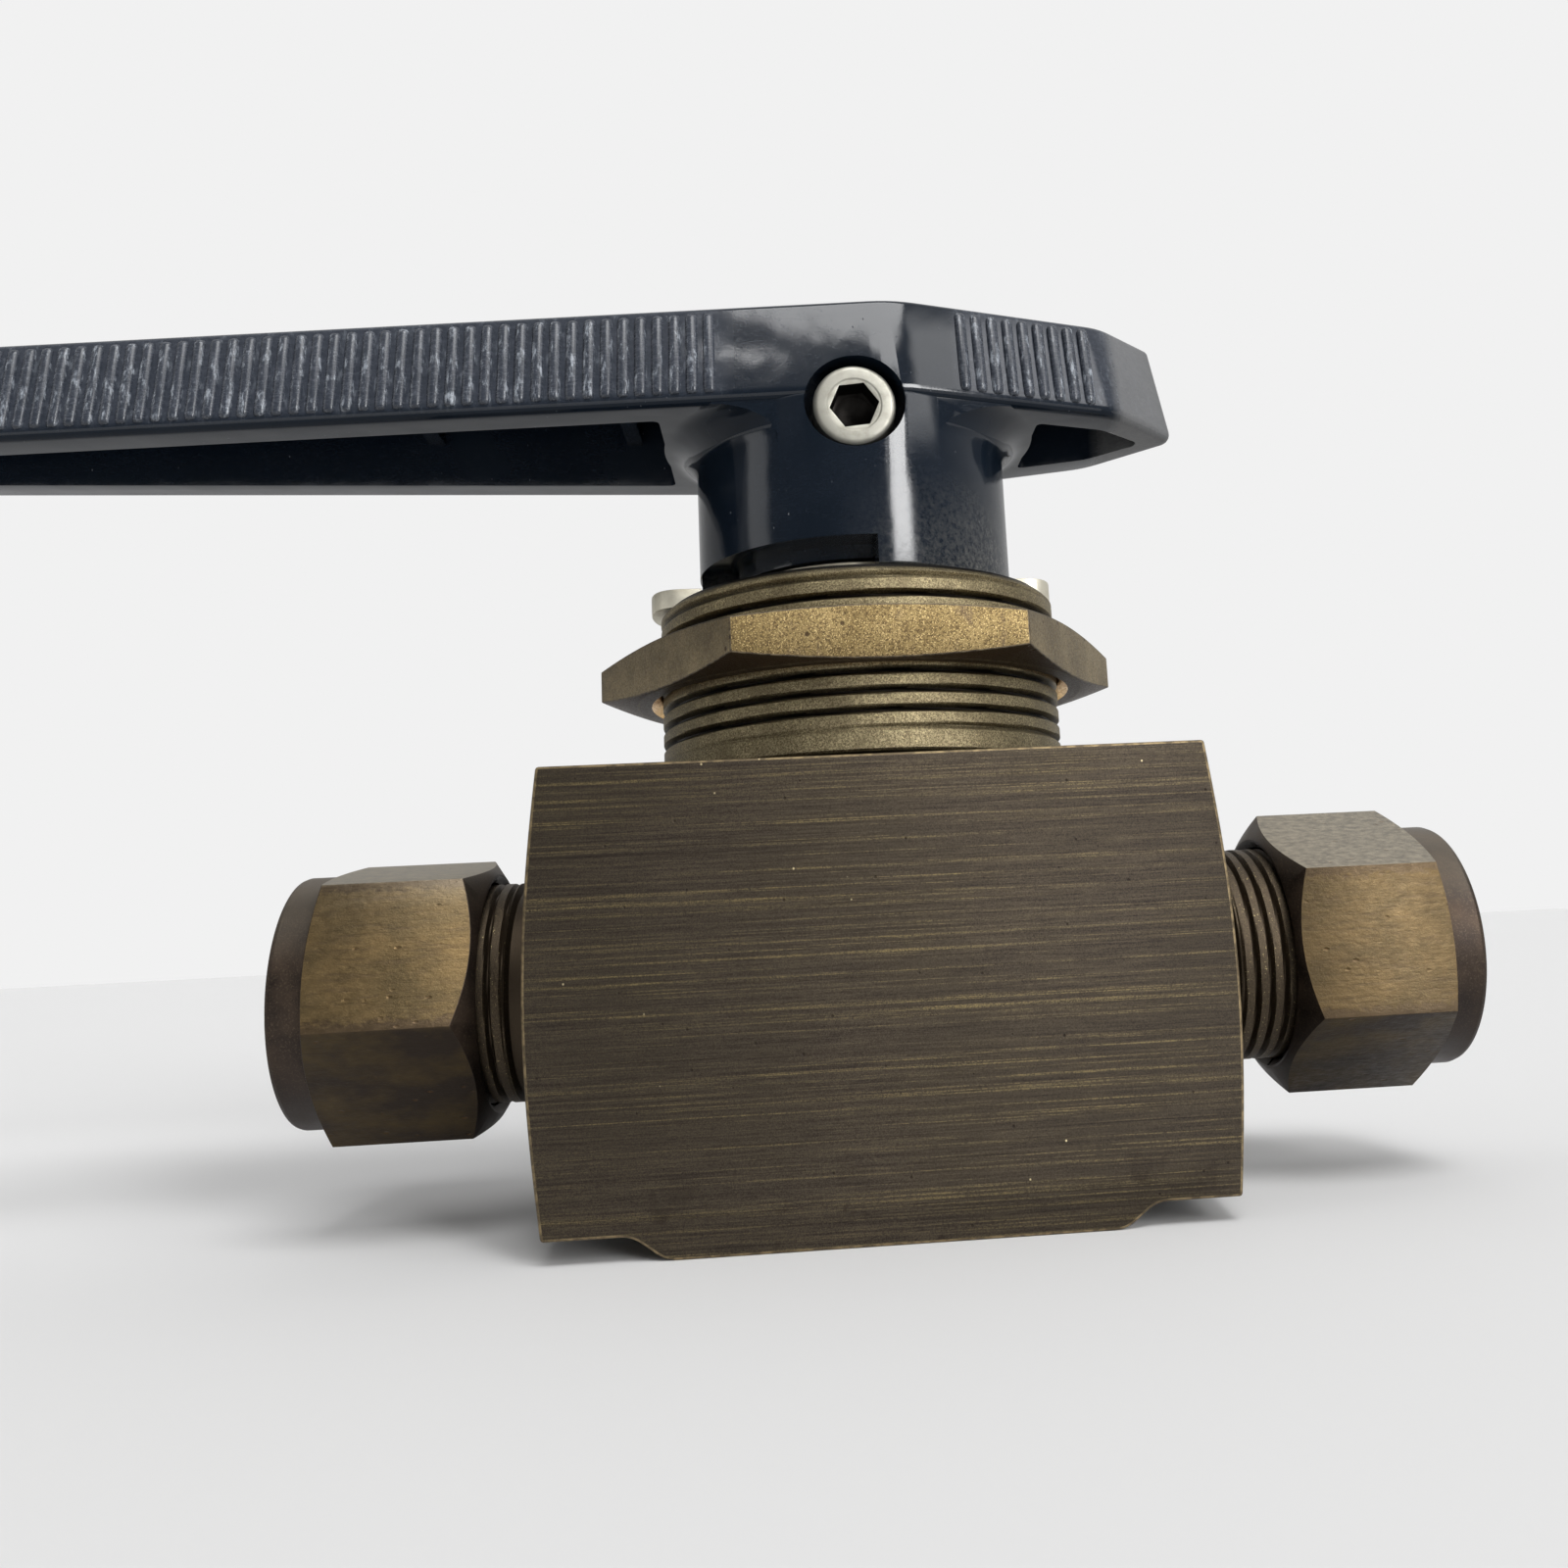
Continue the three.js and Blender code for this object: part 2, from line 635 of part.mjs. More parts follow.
const FITTINGS = [
  { side: "left", at: NUT.leftEnd, flip: 0, turn: NUT.leftTurn },
  { side: "right", at: NUT.rightEnd, flip: Math.PI, turn: NUT.rightTurn },
];
for (const { side, at, flip, turn } of FITTINGS) {
  const made = [
    ["tube_nut", tubeNut(), NUT_BRASS],
    ["front_ferrule", frontFerrule(), BRIGHT_BRASS],
    ["back_ferrule", backFerrule(), BRIGHT_BRASS],
  ];
  for (const [name, solid, material] of made) {
    const mesh = piece(`${name}_${side}`, solid, material);
    mesh.position.set(at, 0, FLOW_Z);
    mesh.rotation.set(turn * DEG, 0, flip);
  }
}

export default group;
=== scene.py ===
import math

import bmesh
import bpy
from mathutils import Matrix, Vector


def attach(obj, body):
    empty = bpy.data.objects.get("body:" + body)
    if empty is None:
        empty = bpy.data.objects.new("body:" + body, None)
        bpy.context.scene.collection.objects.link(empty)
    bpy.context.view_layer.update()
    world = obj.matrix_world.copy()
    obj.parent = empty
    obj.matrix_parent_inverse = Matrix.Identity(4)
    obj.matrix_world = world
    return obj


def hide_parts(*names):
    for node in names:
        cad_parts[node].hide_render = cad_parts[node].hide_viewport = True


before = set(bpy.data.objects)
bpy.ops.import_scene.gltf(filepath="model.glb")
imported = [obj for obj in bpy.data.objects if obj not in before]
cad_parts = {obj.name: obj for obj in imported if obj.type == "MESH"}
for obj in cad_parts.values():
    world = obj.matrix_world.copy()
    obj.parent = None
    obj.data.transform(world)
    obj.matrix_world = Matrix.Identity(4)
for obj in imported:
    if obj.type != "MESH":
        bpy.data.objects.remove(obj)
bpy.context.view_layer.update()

MM = 0.001
DEG = math.pi / 180
FLOW_Z = 19.7  # the flow axis above the base, mm, and all the sizes below are in mm
GAP = 0.3

BODY = {
    "half_depth": 19.05,
    "top": 37.2,
    "front_half": 27.7,
    "end_slope": 0.18,
    "foot_half": 17.3,
    "foot_height": 1.86,
    "foot_slope": 2.5,
}
CHAMBER = {"r": 12, "bottom": 7.1, "ledge": 32.1, "plug_r": 14.3}
STUB = {"end": 42, "crest": 9.52, "root": 8.95, "pitch": 1.27, "relief_r": 8.9, "relief_end": 30.7}
TUBE = {"r": 6.1, "depth": 26.9, "flow_r": 4.75, "mouth_r": 7.6, "mouth_depth": 4}
NUT = {
    "flats": 22,
    "length": 16.6,
    "collar_r": 10.85,
    "collar": 2.9,
    "outer_cone": 0.35,
    "inner_cone": 0.65,
    "shoulder": 3.2,
    "ferrule_r": 8,
    "ferrule_end": 6.5,
    "thread_r": 9.7,
    "inner_r": 10.4,
}
# painted_shade: how far each nut's gold is darkened, as painted shade
FITTINGS = {
    "left": {"end": -49.7, "turn": -20.3, "mirror": 1, "painted_shade": 0.2},
    "right": {"end": 52.2, "turn": -4.2, "mirror": -1, "painted_shade": 0.55},
}
NECK = {
    "bottom": 37.5,
    "top": 53.05,
    "crest": 18.25,
    "root": 17.6,
    "pitch": 1.5875,
    "plain": 1.6,
    "boss_r": 8.5,
    "boss_top": 56.1,
    "boss_flat": 7.4,
    "stem_r": 5.4,
}
PANEL_NUT = {"flats": 41.3, "bottom": 44.5, "height": 4.45, "bore_r": 18.45, "turn": 2.3}
STOP = {"bottom": 53.2, "height": 1.7, "ring_r": 11.7, "arm": 0.9, "ear": 4.4}
STOP_REACH = {1: 18.3, -1: 19.1}  # from the stem axis to the end of each ear
SCREW = {
    "z": 68.7,
    "face": 12.9,
    "head_r": 3.65,
    "head": 3.8,
    "recess_r": 4.4,
    "shank_r": 2.3,
    "tip": 4.75,
    "socket": 3.8,
}
HUB = {
    "r": 14.55,
    "bottom": 53.9,
    "skirt_r": 12.4,
    "skirt_top": 55.3,
    "slot_top": 56.5,
    "pocket_r": 9.1,
    "pocket_top": 57.9,
}
INSERT = {"r": 8, "bottom": 57.7, "top": 73.7}
LEVER = {"bottom": 69.2, "top": 78.8, "roof": 76.1, "draft": 1.9, "wall": 3.6, "web": 17.3}
LEVER_PLAN = [(-101.6, 2.4), (-97, 6.15), (3.8, 14.2), (24.5, 7.6), (31.6, 0.6)]
RIB = {"pitch": 1.5, "half": 0.52, "height": 0.36, "bottom": 70.1, "top": 78.1}
RIB_RUNS = [(-93.5, -11.5), (10.0, 22.3)]
CROSS_RIBS = [-21.2, -40.4, -59.6, -78.8]
CROSS_RIB = {"thick": 1.5, "bottom": 73.2}

# Where the black nylon is marked, and where its tip gets a painted reflection: each pair is where a
# mark starts and where it is full.
DUST_LOW = (63.0, 54.0)
DUST_RIGHT = (-2.0, 12.0)
GRIP_LOW = (69.6, 70.6)
GRIP_OUT = (9.5, 11.5)  # from the middle of the smooth stretch over the hub
SMOOTH_MIDDLE = -0.75
# where the grey painted reflection on the lever's tip starts and where it is full
NOSE_SHEEN = (24.2, 25.6)
UNDERSIDE = {"above": 64, "slope": -0.3}

# The photograph's viewpoint, solved from the body's corners, the nuts and the neck.
CAMERA = {
    "place": (-6.5, -125.67, 22.71),
    "turns": [("Z", -0.0391334), ("Y", -0.0760355), ("X", -0.1575926)],
    "lens": 31.32,
    "shift": (-0.0714, -0.040),
}
BACKDROP = 0.88  # brightness of the plain background
FLOOR = {"greys": (0.68, 0.69), "half": 6000, "thick": 20}
SUN = {"strength": 1.5, "spread": 30, "from": (0.15, -0.55, 1.0)}
# Soft windows: azimuth, elevation, width, height and soft edge in degrees, then strength.
WINDOWS = [
    (-57, 18, 9, 24, 4, 19),
    (-102.5, 48.5, 1.6, 0.5, 1.1, 16),
    (-101, 50, 8, 3, 6, 0.35),
    (-38, 38, 18, 16, 8, 3),
    (-164, 18, 12, 26, 6, 1.2),
]
SLOTS = 3  # materials that one piece can carry


# ---- meshes ----
def mesh_object(name, points, faces):
    """An object from points in millimetres, with its faces turned outwards."""
    mesh = bpy.data.meshes.new(name)
    mesh.from_pydata([Vector(p) * MM for p in points], [], faces)
    built = bmesh.new()
    built.from_mesh(mesh)
    bmesh.ops.recalc_face_normals(built, faces=built.faces)
    built.to_mesh(mesh)
    built.free()
    for _ in range(SLOTS):
        mesh.materials.append(None)
    obj = bpy.data.objects.new(name, mesh)
    bpy.context.scene.collection.objects.link(obj)
    return obj


def paint(obj, slot, test=None):
    """Gives a material slot to the faces that pass the test, from their centre and normal."""
    for face in obj.data.polygons:
        if test is None or test(face.center / MM, face.normal):
            face.material_index = slot
    return obj


AXES = {
    "x": (Vector((0, 1, 0)), Vector((0, 0, 1)), Vector((1, 0, 0))),
    "y": (Vector((0, 0, 1)), Vector((1, 0, 0)), Vector((0, 1, 0))),
    "z": (Vector((1, 0, 0)), Vector((0, 1, 0)), Vector((0, 0, 1))),
}


def turned(name, profile, axis="z", centre=(0, 0, 0), segments=128):
    """A solid of revolution, from a profile of (radius, distance along the axis).
    The profile runs from the axis to the axis, or ends on its first point.
    A radius may be a function of the angle."""
    closed = profile[0] == profile[-1]
    rows = profile[:-1] if closed else profile
    across, up, along = AXES[axis]
    points, index = [], []
    for r, s in rows:
        if r == 0:
            index.append([len(points)] * segments)
            points.append(Vector(centre) + along * s)
            continue
        index.append(list(range(len(points), len(points) + segments)))
        for i in range(segments):
            a = 2 * math.pi * i / segments
            radius = r(a) if callable(r) else r
            out = (across * math.cos(a) + up * math.sin(a)) * radius
            points.append(Vector(centre) + out + along * s)
    faces = []
    following = index[1:] + index[:1] if closed else index[1:]
    for low, high in zip(index, following):
        for i in range(segments):
            j = (i + 1) % segments
            ring = list(dict.fromkeys((low[i], low[j], high[j], high[i])))
            if len(ring) > 2:
                faces.append(ring)
    return mesh_object(name, points, faces)


def bar(name, r, start, end, axis="z", centre=(0, 0, 0), segments=96):
    return turned(name, [(0, start), (r, start), (r, end), (0, end)], axis, centre, segments)


def bend(corner, before, after, reach, steps):
    """Points on the curve that takes the place of a corner, from one side of it to the other."""
    p, q = corner + before.normalized() * reach, corner + after.normalized() * reach
    shares = [k / steps for k in range(steps + 1)]
    return [tuple(p * (1 - t) ** 2 + corner * 2 * t * (1 - t) + q * t**2) for t in shares]


def eased(profile, radius):
    """The profile with each of its corners rounded; its end points stay."""
    out = [profile[0]]
    for before, corner, after in zip(profile, profile[1:], profile[2:]):
        if callable(before[0]) or callable(corner[0]) or callable(after[0]):
            out.append(corner)
            continue
        a, b, c = Vector(before), Vector(corner), Vector(after)
        into, leave = (a - b), (c - b)
        reach = min(radius, into.length * 0.45, leave.length * 0.45)
        if reach < 0.01 or into.angle(leave) > 2.8:
            out.append(corner)
            continue
        out += bend(b, into, leave, reach, 3)
    out.append(profile[-1])
    return out


def thread_rows(root, crest, pitch, start, end, fade=1.0, per_pitch=12):
    """Profile rows of a right-hand screw thread that fades out at both ends."""
    count = round((end - start) / pitch * per_pitch)
    root_width, flank_width = 0.06, 0.42  # shares of half a pitch

    def radius_at(s):
        def radius(angle):
            phase = (s / pitch - angle / (2 * math.pi)) % 1
            ridge = min(max((1 - abs(2 * phase - 1) - root_width) / flank_width, 0), 1)
            ridge = ridge * ridge * (3 - 2 * ridge)
            deep = min((s - start) / fade, (end - s) / fade, 1)
            return crest - (crest - root) * (1 - ridge) * max(deep, 0)

        return radius

    stops = [start + (end - start) * k / count for k in range(count + 1)]
    return [(radius_at(s), s) for s in stops]


def hex_bar(name, flats, start, end, axis="z", centre=(0, 0, 0), turn=0.0):
    """A hexagon bar with its corners at turn degrees from the axis's first direction."""
    across, up, along = AXES[axis]
    r = flats / math.sqrt(3)
    points = []
    for s in (start, end):
        for k in range(6):
            a = (turn + 60 * k) * DEG
            out = (across * math.cos(a) + up * math.sin(a)) * r
            points.append(Vector(centre) + out + along * s)
    faces = [[0, 1, 2, 3, 4, 5], [6, 7, 8, 9, 10, 11]]
    faces += [[k, (k + 1) % 6, (k + 1) % 6 + 6, k + 6] for k in range(6)]
    return mesh_object(name, points, faces)


def rounded(outline, radius):
    """An outline with its corners rounded; the radius may be a list with one for each corner."""
    points = []
    count = len(outline)
    reaches = radius if isinstance(radius, list) else [radius] * count
    for i in range(count):
        a, b, c = (Vector(outline[(i + k) % count]) for k in (-1, 0, 1))
        reach = min(reaches[i], (a - b).length * 0.45, (c - b).length * 0.45)
        points += bend(b, a - b, c - b, reach, 5)
    return points


def prism(name, outline, low, high, axis="z"):
    """A plan outline carried up along Z, or a front view carried back along Y."""
    count = len(outline)
    points = [(a, b, s) if axis == "z" else (a, s, b) for s in (low, high) for a, b in outline]
    faces = [list(range(count)), list(range(count, 2 * count))]
    faces += [[i, (i + 1) % count, (i + 1) % count + count, i + count] for i in range(count)]
    return mesh_object(name, points, faces)


def block(name, low, high):
    x, y, z = zip(low, high)
    points = [(x[i], y[j], z[k]) for i in (0, 1) for j in (0, 1) for k in (0, 1)]
    faces = [[0, 1, 3, 2], [4, 5, 7, 6], [0, 1, 5, 4], [2, 3, 7, 6], [0, 2, 6, 4], [1, 3, 7, 5]]
    return mesh_object(name, points, faces)


def settle(obj):
    """Turns the object's modifiers into its mesh."""
    graph = bpy.context.evaluated_depsgraph_get()
    mesh = bpy.data.meshes.new_from_object(obj.evaluated_get(graph))
    obj.modifiers.clear()
    obj.data = mesh
    return obj


def combine(obj, tool, operation):
    step = obj.modifiers.new("combine", "BOOLEAN")
    step.operation, step.object, step.solver = operation, tool, "EXACT"
    settle(obj)
    bpy.data.objects.remove(tool)
    return obj


def cut(obj, *tools):
    for tool in tools:
        combine(obj, tool, "DIFFERENCE")
    return obj


def join(obj, *tools):
    for tool in tools:
        combine(obj, tool, "UNION")
    return obj


def common(obj, tool):
    return combine(obj, tool, "INTERSECT")


def add_mesh(obj, other):
    """Adds another closed shell to the object, as it is."""
    built = bmesh.new()
    built.from_mesh(obj.data)
    built.from_mesh(other.data)
    built.to_mesh(obj.data)
    built.free()
    bpy.data.objects.remove(other)
    return obj


def ease_edges(obj, width, angle=30, segments=2, slot=-1):
    """Rounds the sharp edges; the strips take the material slot given."""
    step = obj.modifiers.new("ease", "BEVEL")
    step.width, step.segments, step.limit_method = width * MM, segments, "ANGLE"
    step.angle_limit, step.material = angle * DEG, slot
    return settle(obj)


def shade(obj, angle=32):
    """Smooth shading, broken at edges sharper than the angle."""
    built = bmesh.new()
    built.from_mesh(obj.data)
    bmesh.ops.remove_doubles(built, verts=built.verts, dist=0.002 * MM)
    for face in built.faces:
        face.smooth = True
    for edge in built.edges:
        edge.smooth = len(edge.link_faces) == 2 and edge.calc_face_angle(0) < angle * DEG
    built.to_mesh(obj.data)
    built.free()
    return obj


def dress(obj, materials):
    while len(obj.data.materials) < len(materials):
        obj.data.materials.append(None)
    for slot in range(len(obj.data.materials)):
        obj.data.materials[slot] = materials[min(slot, len(materials) - 1)]


def place(obj, nodes, body, materials, angle=32):
    """Puts a finished piece in the model in the place of its CAD node."""
    shade(obj, angle)
    dress(obj, materials)
    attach(obj, body)
    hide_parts(*nodes)
    return obj


# ---- node trees ----
class Graph:
    """A node tree, with short ways to add nodes. A value is a number or another node's output."""

    def __init__(self, tree):
        self.tree = tree
        self.tree.nodes.clear()

    def feed(self, socket, value):
        if isinstance(value, bpy.types.NodeSocket):
            self.tree.links.new(value, socket)
        elif isinstance(value, tuple) and len(value) == 3 and socket.type == "RGBA":
            socket.default_value = (*value, 1)
        else:
            socket.default_value = value

    def node(self, kind, inputs=None, **settings):
        """Adds a node, makes its settings and feeds its inputs, which go by name or by number."""
        node = self.tree.nodes.new("ShaderNode" + kind)
        for name, value in settings.items():
            setattr(node, name, value)
        for key, value in (inputs or {}).items():
            self.feed(node.inputs[key], value)
        return node.outputs

    def math(self, operation, a, b=0.0):
        return self.node("Math", {0: a, 1: b}, operation=operation)[0]

    def times(self, a, b):
        return self.math("MULTIPLY", a, b)

    def minus(self, a, b):
        return self.math("SUBTRACT", a, b)

    def size(self, value):
        return self.math("ABSOLUTE", value)

    def span(self, value, low, high, to_low=0.0, to_high=1.0, kind="LINEAR"):
        """The value moved from one range to another, and kept inside it."""
        inputs = dict(enumerate((value, low, high, to_low, to_high)))
        return self.node("MapRange", inputs, interpolation_type=kind)[0]

    def parts(self, vector):
        return self.node("SeparateXYZ", {0: vector})


class Surface(Graph):
    """A material with one Principled shader, and patterns measured in millimetres."""

    def __init__(self, name):
        self.material = bpy.data.materials.new(name)
        self.material.use_nodes = True
        super().__init__(self.material.node_tree)
        self.shader = self.tree.nodes.new("ShaderNodeBsdfPrincipled")
        self.node("OutputMaterial", {0: self.shader.outputs[0]})
        self.place = self.stretch(self.node("TexCoord")["Object"], (1 / MM, 1 / MM, 1 / MM))
        self.normal = self.node("TexCoord")["Normal"]

    def set(self, **values):
        for name, value in values.items():
            self.feed(self.shader.inputs[name.replace("_", " ")], value)

    def stretch(self, vector, scale):
        return self.node("Mapping", {"Vector": vector, "Scale": scale})[0]

    def noise(self, scale, detail=4.0, roughness=0.55, vector=None, distortion=0.0):
        inputs = {"Vector": vector or self.place, "Scale": scale, "Detail": detail}
        inputs |= {"Roughness": roughness, "Distortion": distortion}
        return self.node("TexNoise", inputs)[0]

    def cells(self, scale, vector=None):
        return self.node("TexVoronoi", {"Vector": vector or self.place, "Scale": scale})["Distance"]

    def blend(self, share, a, b):
        return self.node("Mix", {0: share, 6: a, 7: b}, data_type="RGBA")[2]

    def switch(self, share, a, b):
        """One vector or another."""
        return self.node("Mix", {0: share, 4: a, 5: b}, data_type="VECTOR")[1]

    def mean(self, a, b, share):
        """Two patterns mixed, with the share given to the second."""
        return self.math("ADD", self.times(a, 1 - share), self.times(b, share))

    def length(self, vector):
        return self.node("VectorMath", {0: vector}, operation="LENGTH")["Value"]

    def vector(self, x, y, z):
        return self.node("CombineXYZ", {0: x, 1: y, 2: z})[0]

    def bump(self, height, depth, before=None):
        """Relief of the given depth in millimetres."""
        inputs = {"Height": height, "Distance": depth * MM}
        if before:
            inputs["Normal"] = before
        return self.node("Bump", inputs)[0]

    def pits(self, marks, depth, before):
        """Relief that goes down by the depth where the marks are."""
        return self.bump(self.minus(1.0, marks), depth, before)


def tone(red, green, blue):
    """A colour as a screen shows it, 0 to 255, turned into light."""
    levels = [v / 255 for v in (red, green, blue)]
    return tuple(((v + 0.055) / 1.055) ** 2.4 if v > 10 / 255 else v / 12.92 for v in levels)


def aged_bar(name="aged_bar", worn=0.0):
    """Drawn brass bar: long fine lines over a dark brown patina, with gold glints painted along
    them.
    """
    s = Surface(name)
    x, y, z = s.parts(s.place)
    away = s.vector(0.0, y, s.minus(z, FLOW_Z))
    turned_face = s.span(s.size(s.parts(s.normal)["X"]), 0.6, 0.8)
    rings = s.vector(s.length(away), 0.0, 0.0)
    lengthwise = s.switch(turned_face, s.stretch(s.place, (0.004, 1, 1)), rings)
    short = s.switch(turned_face, s.stretch(s.place, (0.04, 1, 1)), rings)
    long_lines = s.noise(3.0, 6, 0.85, lengthwise)
    hairs = s.noise(5.5, 4, 0.8, short)
    grain = s.noise(11, 3, 0.8)
    cloud = s.noise(0.07, 3, 0.5)
    lines = s.mean(s.mean(long_lines, hairs, 0.5), grain, 0.42)
    base = s.blend(s.span(lines, 0.41, 0.59), tone(46, 40, 38), tone(96, 86, 70))
    base = s.blend(s.span(cloud, 0.4, 0.62, 0, 0.35), base, tone(64, 57, 46))
    # painted glints: gold along the long lines, in patches
    gold = s.times(s.span(long_lines, 0.545, 0.585), s.span(grain, 0.44, 0.56, 0.1, 1))
    gold = s.times(gold, s.span(hairs, 0.36, 0.54, 0.25, 1))
    gold = s.times(gold, s.span(cloud, 0.35, 0.6, 0.35, 0.85))
    base = s.blend(gold, base, tone(150, 133, 90))
    # painted shade: the bar darker towards its right end
    base = s.blend(s.span(x, 2.0, 28.0, 0.14, 0.45), base, tone(42, 37, 32))
    scored = s.span(s.noise(2.4, 5, 0.85, s.stretch(lengthwise, (1, 1.3, 1.7))), 0.41, 0.375)
    base = s.blend(s.times(scored, 0.55), base, tone(34, 29, 27))
    dots = s.span(s.cells(0.55, s.stretch(s.place, (1, 1.3, 0.9))), 0.075, 0.04)
    base = s.blend(s.times(dots, 0.7), base, tone(38, 31, 27))
    nicks = s.span(s.cells(0.31, s.stretch(s.place, (1.2, 1, 1))), 0.035, 0.015)
    base = s.blend(nicks, base, tone(206, 190, 150))
    # dark patches, more of them towards the bottom
    low_patches = s.times(s.span(s.noise(0.23, 5, 0.6), 0.58, 0.66), s.span(z, 7.0, 1.0))
    base = s.blend(s.times(low_patches, 0.75), base, tone(40, 33, 29))
    if worn:
        rubbed = s.span(s.noise(1.4, 4), 0.42, 0.6, worn * 0.3, worn)
        base = s.blend(rubbed, base, tone(150, 132, 100))
    relief = s.bump(lines, 0.035)
    relief = s.pits(dots, 0.03, relief)
    rough = s.span(lines, 0.35, 0.65, 0.62, 0.46)
    s.set(Base_Color=base, Metallic=0.86, Roughness=rough, Normal=relief)
    return s.material


def speckled_brass():
    """The panel nut: gold with dark specks on its front and back flats, browner elsewhere."""
    s = Surface("panel_nut_brass")
    ny, nz = s.parts(s.normal)[1:]
    fronts = s.span(s.size(ny), 0.8, 0.97)
    patches = s.noise(0.3, 4, 0.6)
    pepper = s.noise(4.6, 5, 0.85)
    fine = s.noise(9, 2, 0.6)
    gold = s.blend(s.span(patches, 0.35, 0.65), tone(118, 100, 64), tone(144, 124, 84))
    brown = s.blend(s.span(patches, 0.35, 0.65), tone(112, 100, 78), tone(140, 126, 98))
    base = s.blend(fronts, brown, gold)
    share = s.span(fronts, 0, 1, 0.3, 0.85)
    base = s.blend(s.times(s.span(pepper, 0.49, 0.55), share), base, tone(74, 58, 36))
    base = s.blend(s.times(s.span(fine, 0.56, 0.66), share), base, tone(206, 184, 132))
    streaks = s.noise(0.5, 5, 0.7, s.stretch(s.place, (1, 1, 0.35)))
    base = s.blend(s.times(s.span(streaks, 0.58, 0.66), 0.45), base, tone(92, 78, 66))
    pits = s.span(s.cells(0.42), 0.1, 0.06)
    base = s.blend(s.times(pits, 0.85), base, tone(64, 48, 34))
    # painted shade: faces turned downwards darker
    base = s.blend(s.span(nz, -0.5, -0.8), base, tone(70, 56, 40))
    relief = s.pits(pits, 0.06, s.bump(pepper, -0.02))
    rough = s.span(pepper, 0.4, 0.6, 0.38, 0.58)
    s.set(Base_Color=base, Metallic=0.85, Roughness=rough, Normal=relief)
    return s.material


def dark_edge(name, first, second):
    """Grime along the corners of a nut."""
    s = Surface(name)
    grime = s.noise(1.8, 5, 0.7)
    base = s.blend(s.span(grime, 0.4, 0.62), first, second)
    rough = s.span(grime, 0.3, 0.7, 0.4, 0.6)
    s.set(Base_Color=base, Metallic=0.8, Roughness=rough, Normal=s.bump(grime, 0.03))
    return s.material


def fitting_brass(side):
    """A tube nut's facets: gold, dented like orange peel, with dark strips along the corners."""
    s = Surface(f"fitting_brass_{side}")
    y, z = s.parts(s.place)[1:]
    nz = s.parts(s.normal)["Z"]
    angle = s.math("DIVIDE", s.math("ARCTAN2", y, s.minus(z, FLOW_Z)), 60 * DEG)
    turn = -FITTINGS[side]["turn"] / 60
    sixth = s.math("FRACT", s.math("ADD", angle, 12.5 - turn))  # 0.5 at a corner
    corner = s.size(s.minus(sixth, 0.5))
    drawn = s.stretch(s.place, (0.12, 1, 1))
    longer = s.stretch(s.place, (0.6, 1, 1))
    blotch = s.noise(0.28, 4, 0.6, longer)
    peel = s.noise(2.1, 4, 0.65, longer)
    grain = s.noise(6.5, 3, 0.75)
    lines = s.noise(2.4, 4, 0.7, drawn)
    dents = s.span(s.cells(0.95, s.stretch(s.place, (0.55, 1, 1))), 0.17, 0.06)
    dents = s.times(dents, s.span(s.noise(0.6, 2), 0.46, 0.6))
    gold = s.blend(s.span(blotch, 0.38, 0.62), tone(102, 87, 60), tone(132, 110, 74))
    gold = s.blend(s.span(grain, 0.5, 0.72, 0, 0.5), gold, tone(160, 136, 94))
    gold = s.blend(s.span(lines, 0.5, 0.36, 0, 0.55), gold, tone(96, 80, 60))
    strip = s.math("ADD", corner, s.times(s.minus(peel, 0.5), 0.16))
    gold = s.blend(s.span(strip, 0.07, 0.035, 0, 0.65), gold, tone(84, 70, 58))
    # painted shade: each nut's gold darkened by its own share, the right one more
    gold = s.blend(FITTINGS[side]["painted_shade"], gold, tone(62, 52, 38))
    # top and low are painted light and shade: upward facets paler and greyer, downward facets dark
    top = s.blend(s.span(peel, 0.35, 0.65), tone(130, 123, 110), tone(166, 157, 140))
    low = s.blend(s.span(blotch, 0.4, 0.62), tone(49, 41, 34), tone(70, 58, 38))
    base = s.blend(s.span(nz, 0.35, 0.75), gold, top)
    # painted shade on downward facets
    base = s.blend(s.span(nz, -0.2, -0.6), base, low)
    base = s.blend(s.times(dents, 0.6), base, tone(88, 66, 42))
    relief = s.bump(s.mean(peel, lines, 0.4), 0.07)
    relief = s.bump(grain, 0.012, relief)
    relief = s.pits(dents, 0.06, relief)
    rough = s.span(peel, 0.3, 0.7, 0.36, 0.55)
    s.set(Base_Color=base, Metallic=0.85, Roughness=rough, Normal=relief)
    return s.material


def collar_brass():
    """The turned ends of a tube nut, dull brown with fine rings."""
    s = Surface("collar_brass")
    nz = s.parts(s.normal)["Z"]
    cloud = s.noise(0.3, 5, 0.6)
    fine = s.noise(6, 3, 0.7)
    rings = s.noise(5, 2, 0.6, s.vector(s.parts(s.place)["X"], 0.0, 0.0))
    base = s.blend(s.span(cloud, 0.36, 0.64), tone(46, 39, 35), tone(72, 60, 50))
    base = s.blend(s.span(fine, 0.52, 0.7, 0, 0.4), base, tone(108, 94, 76))
    # painted light: upward faces paler
    base = s.blend(s.span(nz, 0.3, 0.9, 0, 0.6), base, tone(130, 121, 108))
    # painted shade: downward faces darker
    base = s.blend(s.span(nz, -0.2, -0.8, 0, 0.75), base, tone(48, 42, 40))
    relief = s.bump(s.mean(cloud, fine, 0.4), 0.03, s.bump(rings, 0.008))
    rough = s.span(cloud, 0.3, 0.7, 0.4, 0.56)
    s.set(Base_Color=base, Metallic=0.8, Roughness=rough, Normal=relief)
    return s.material


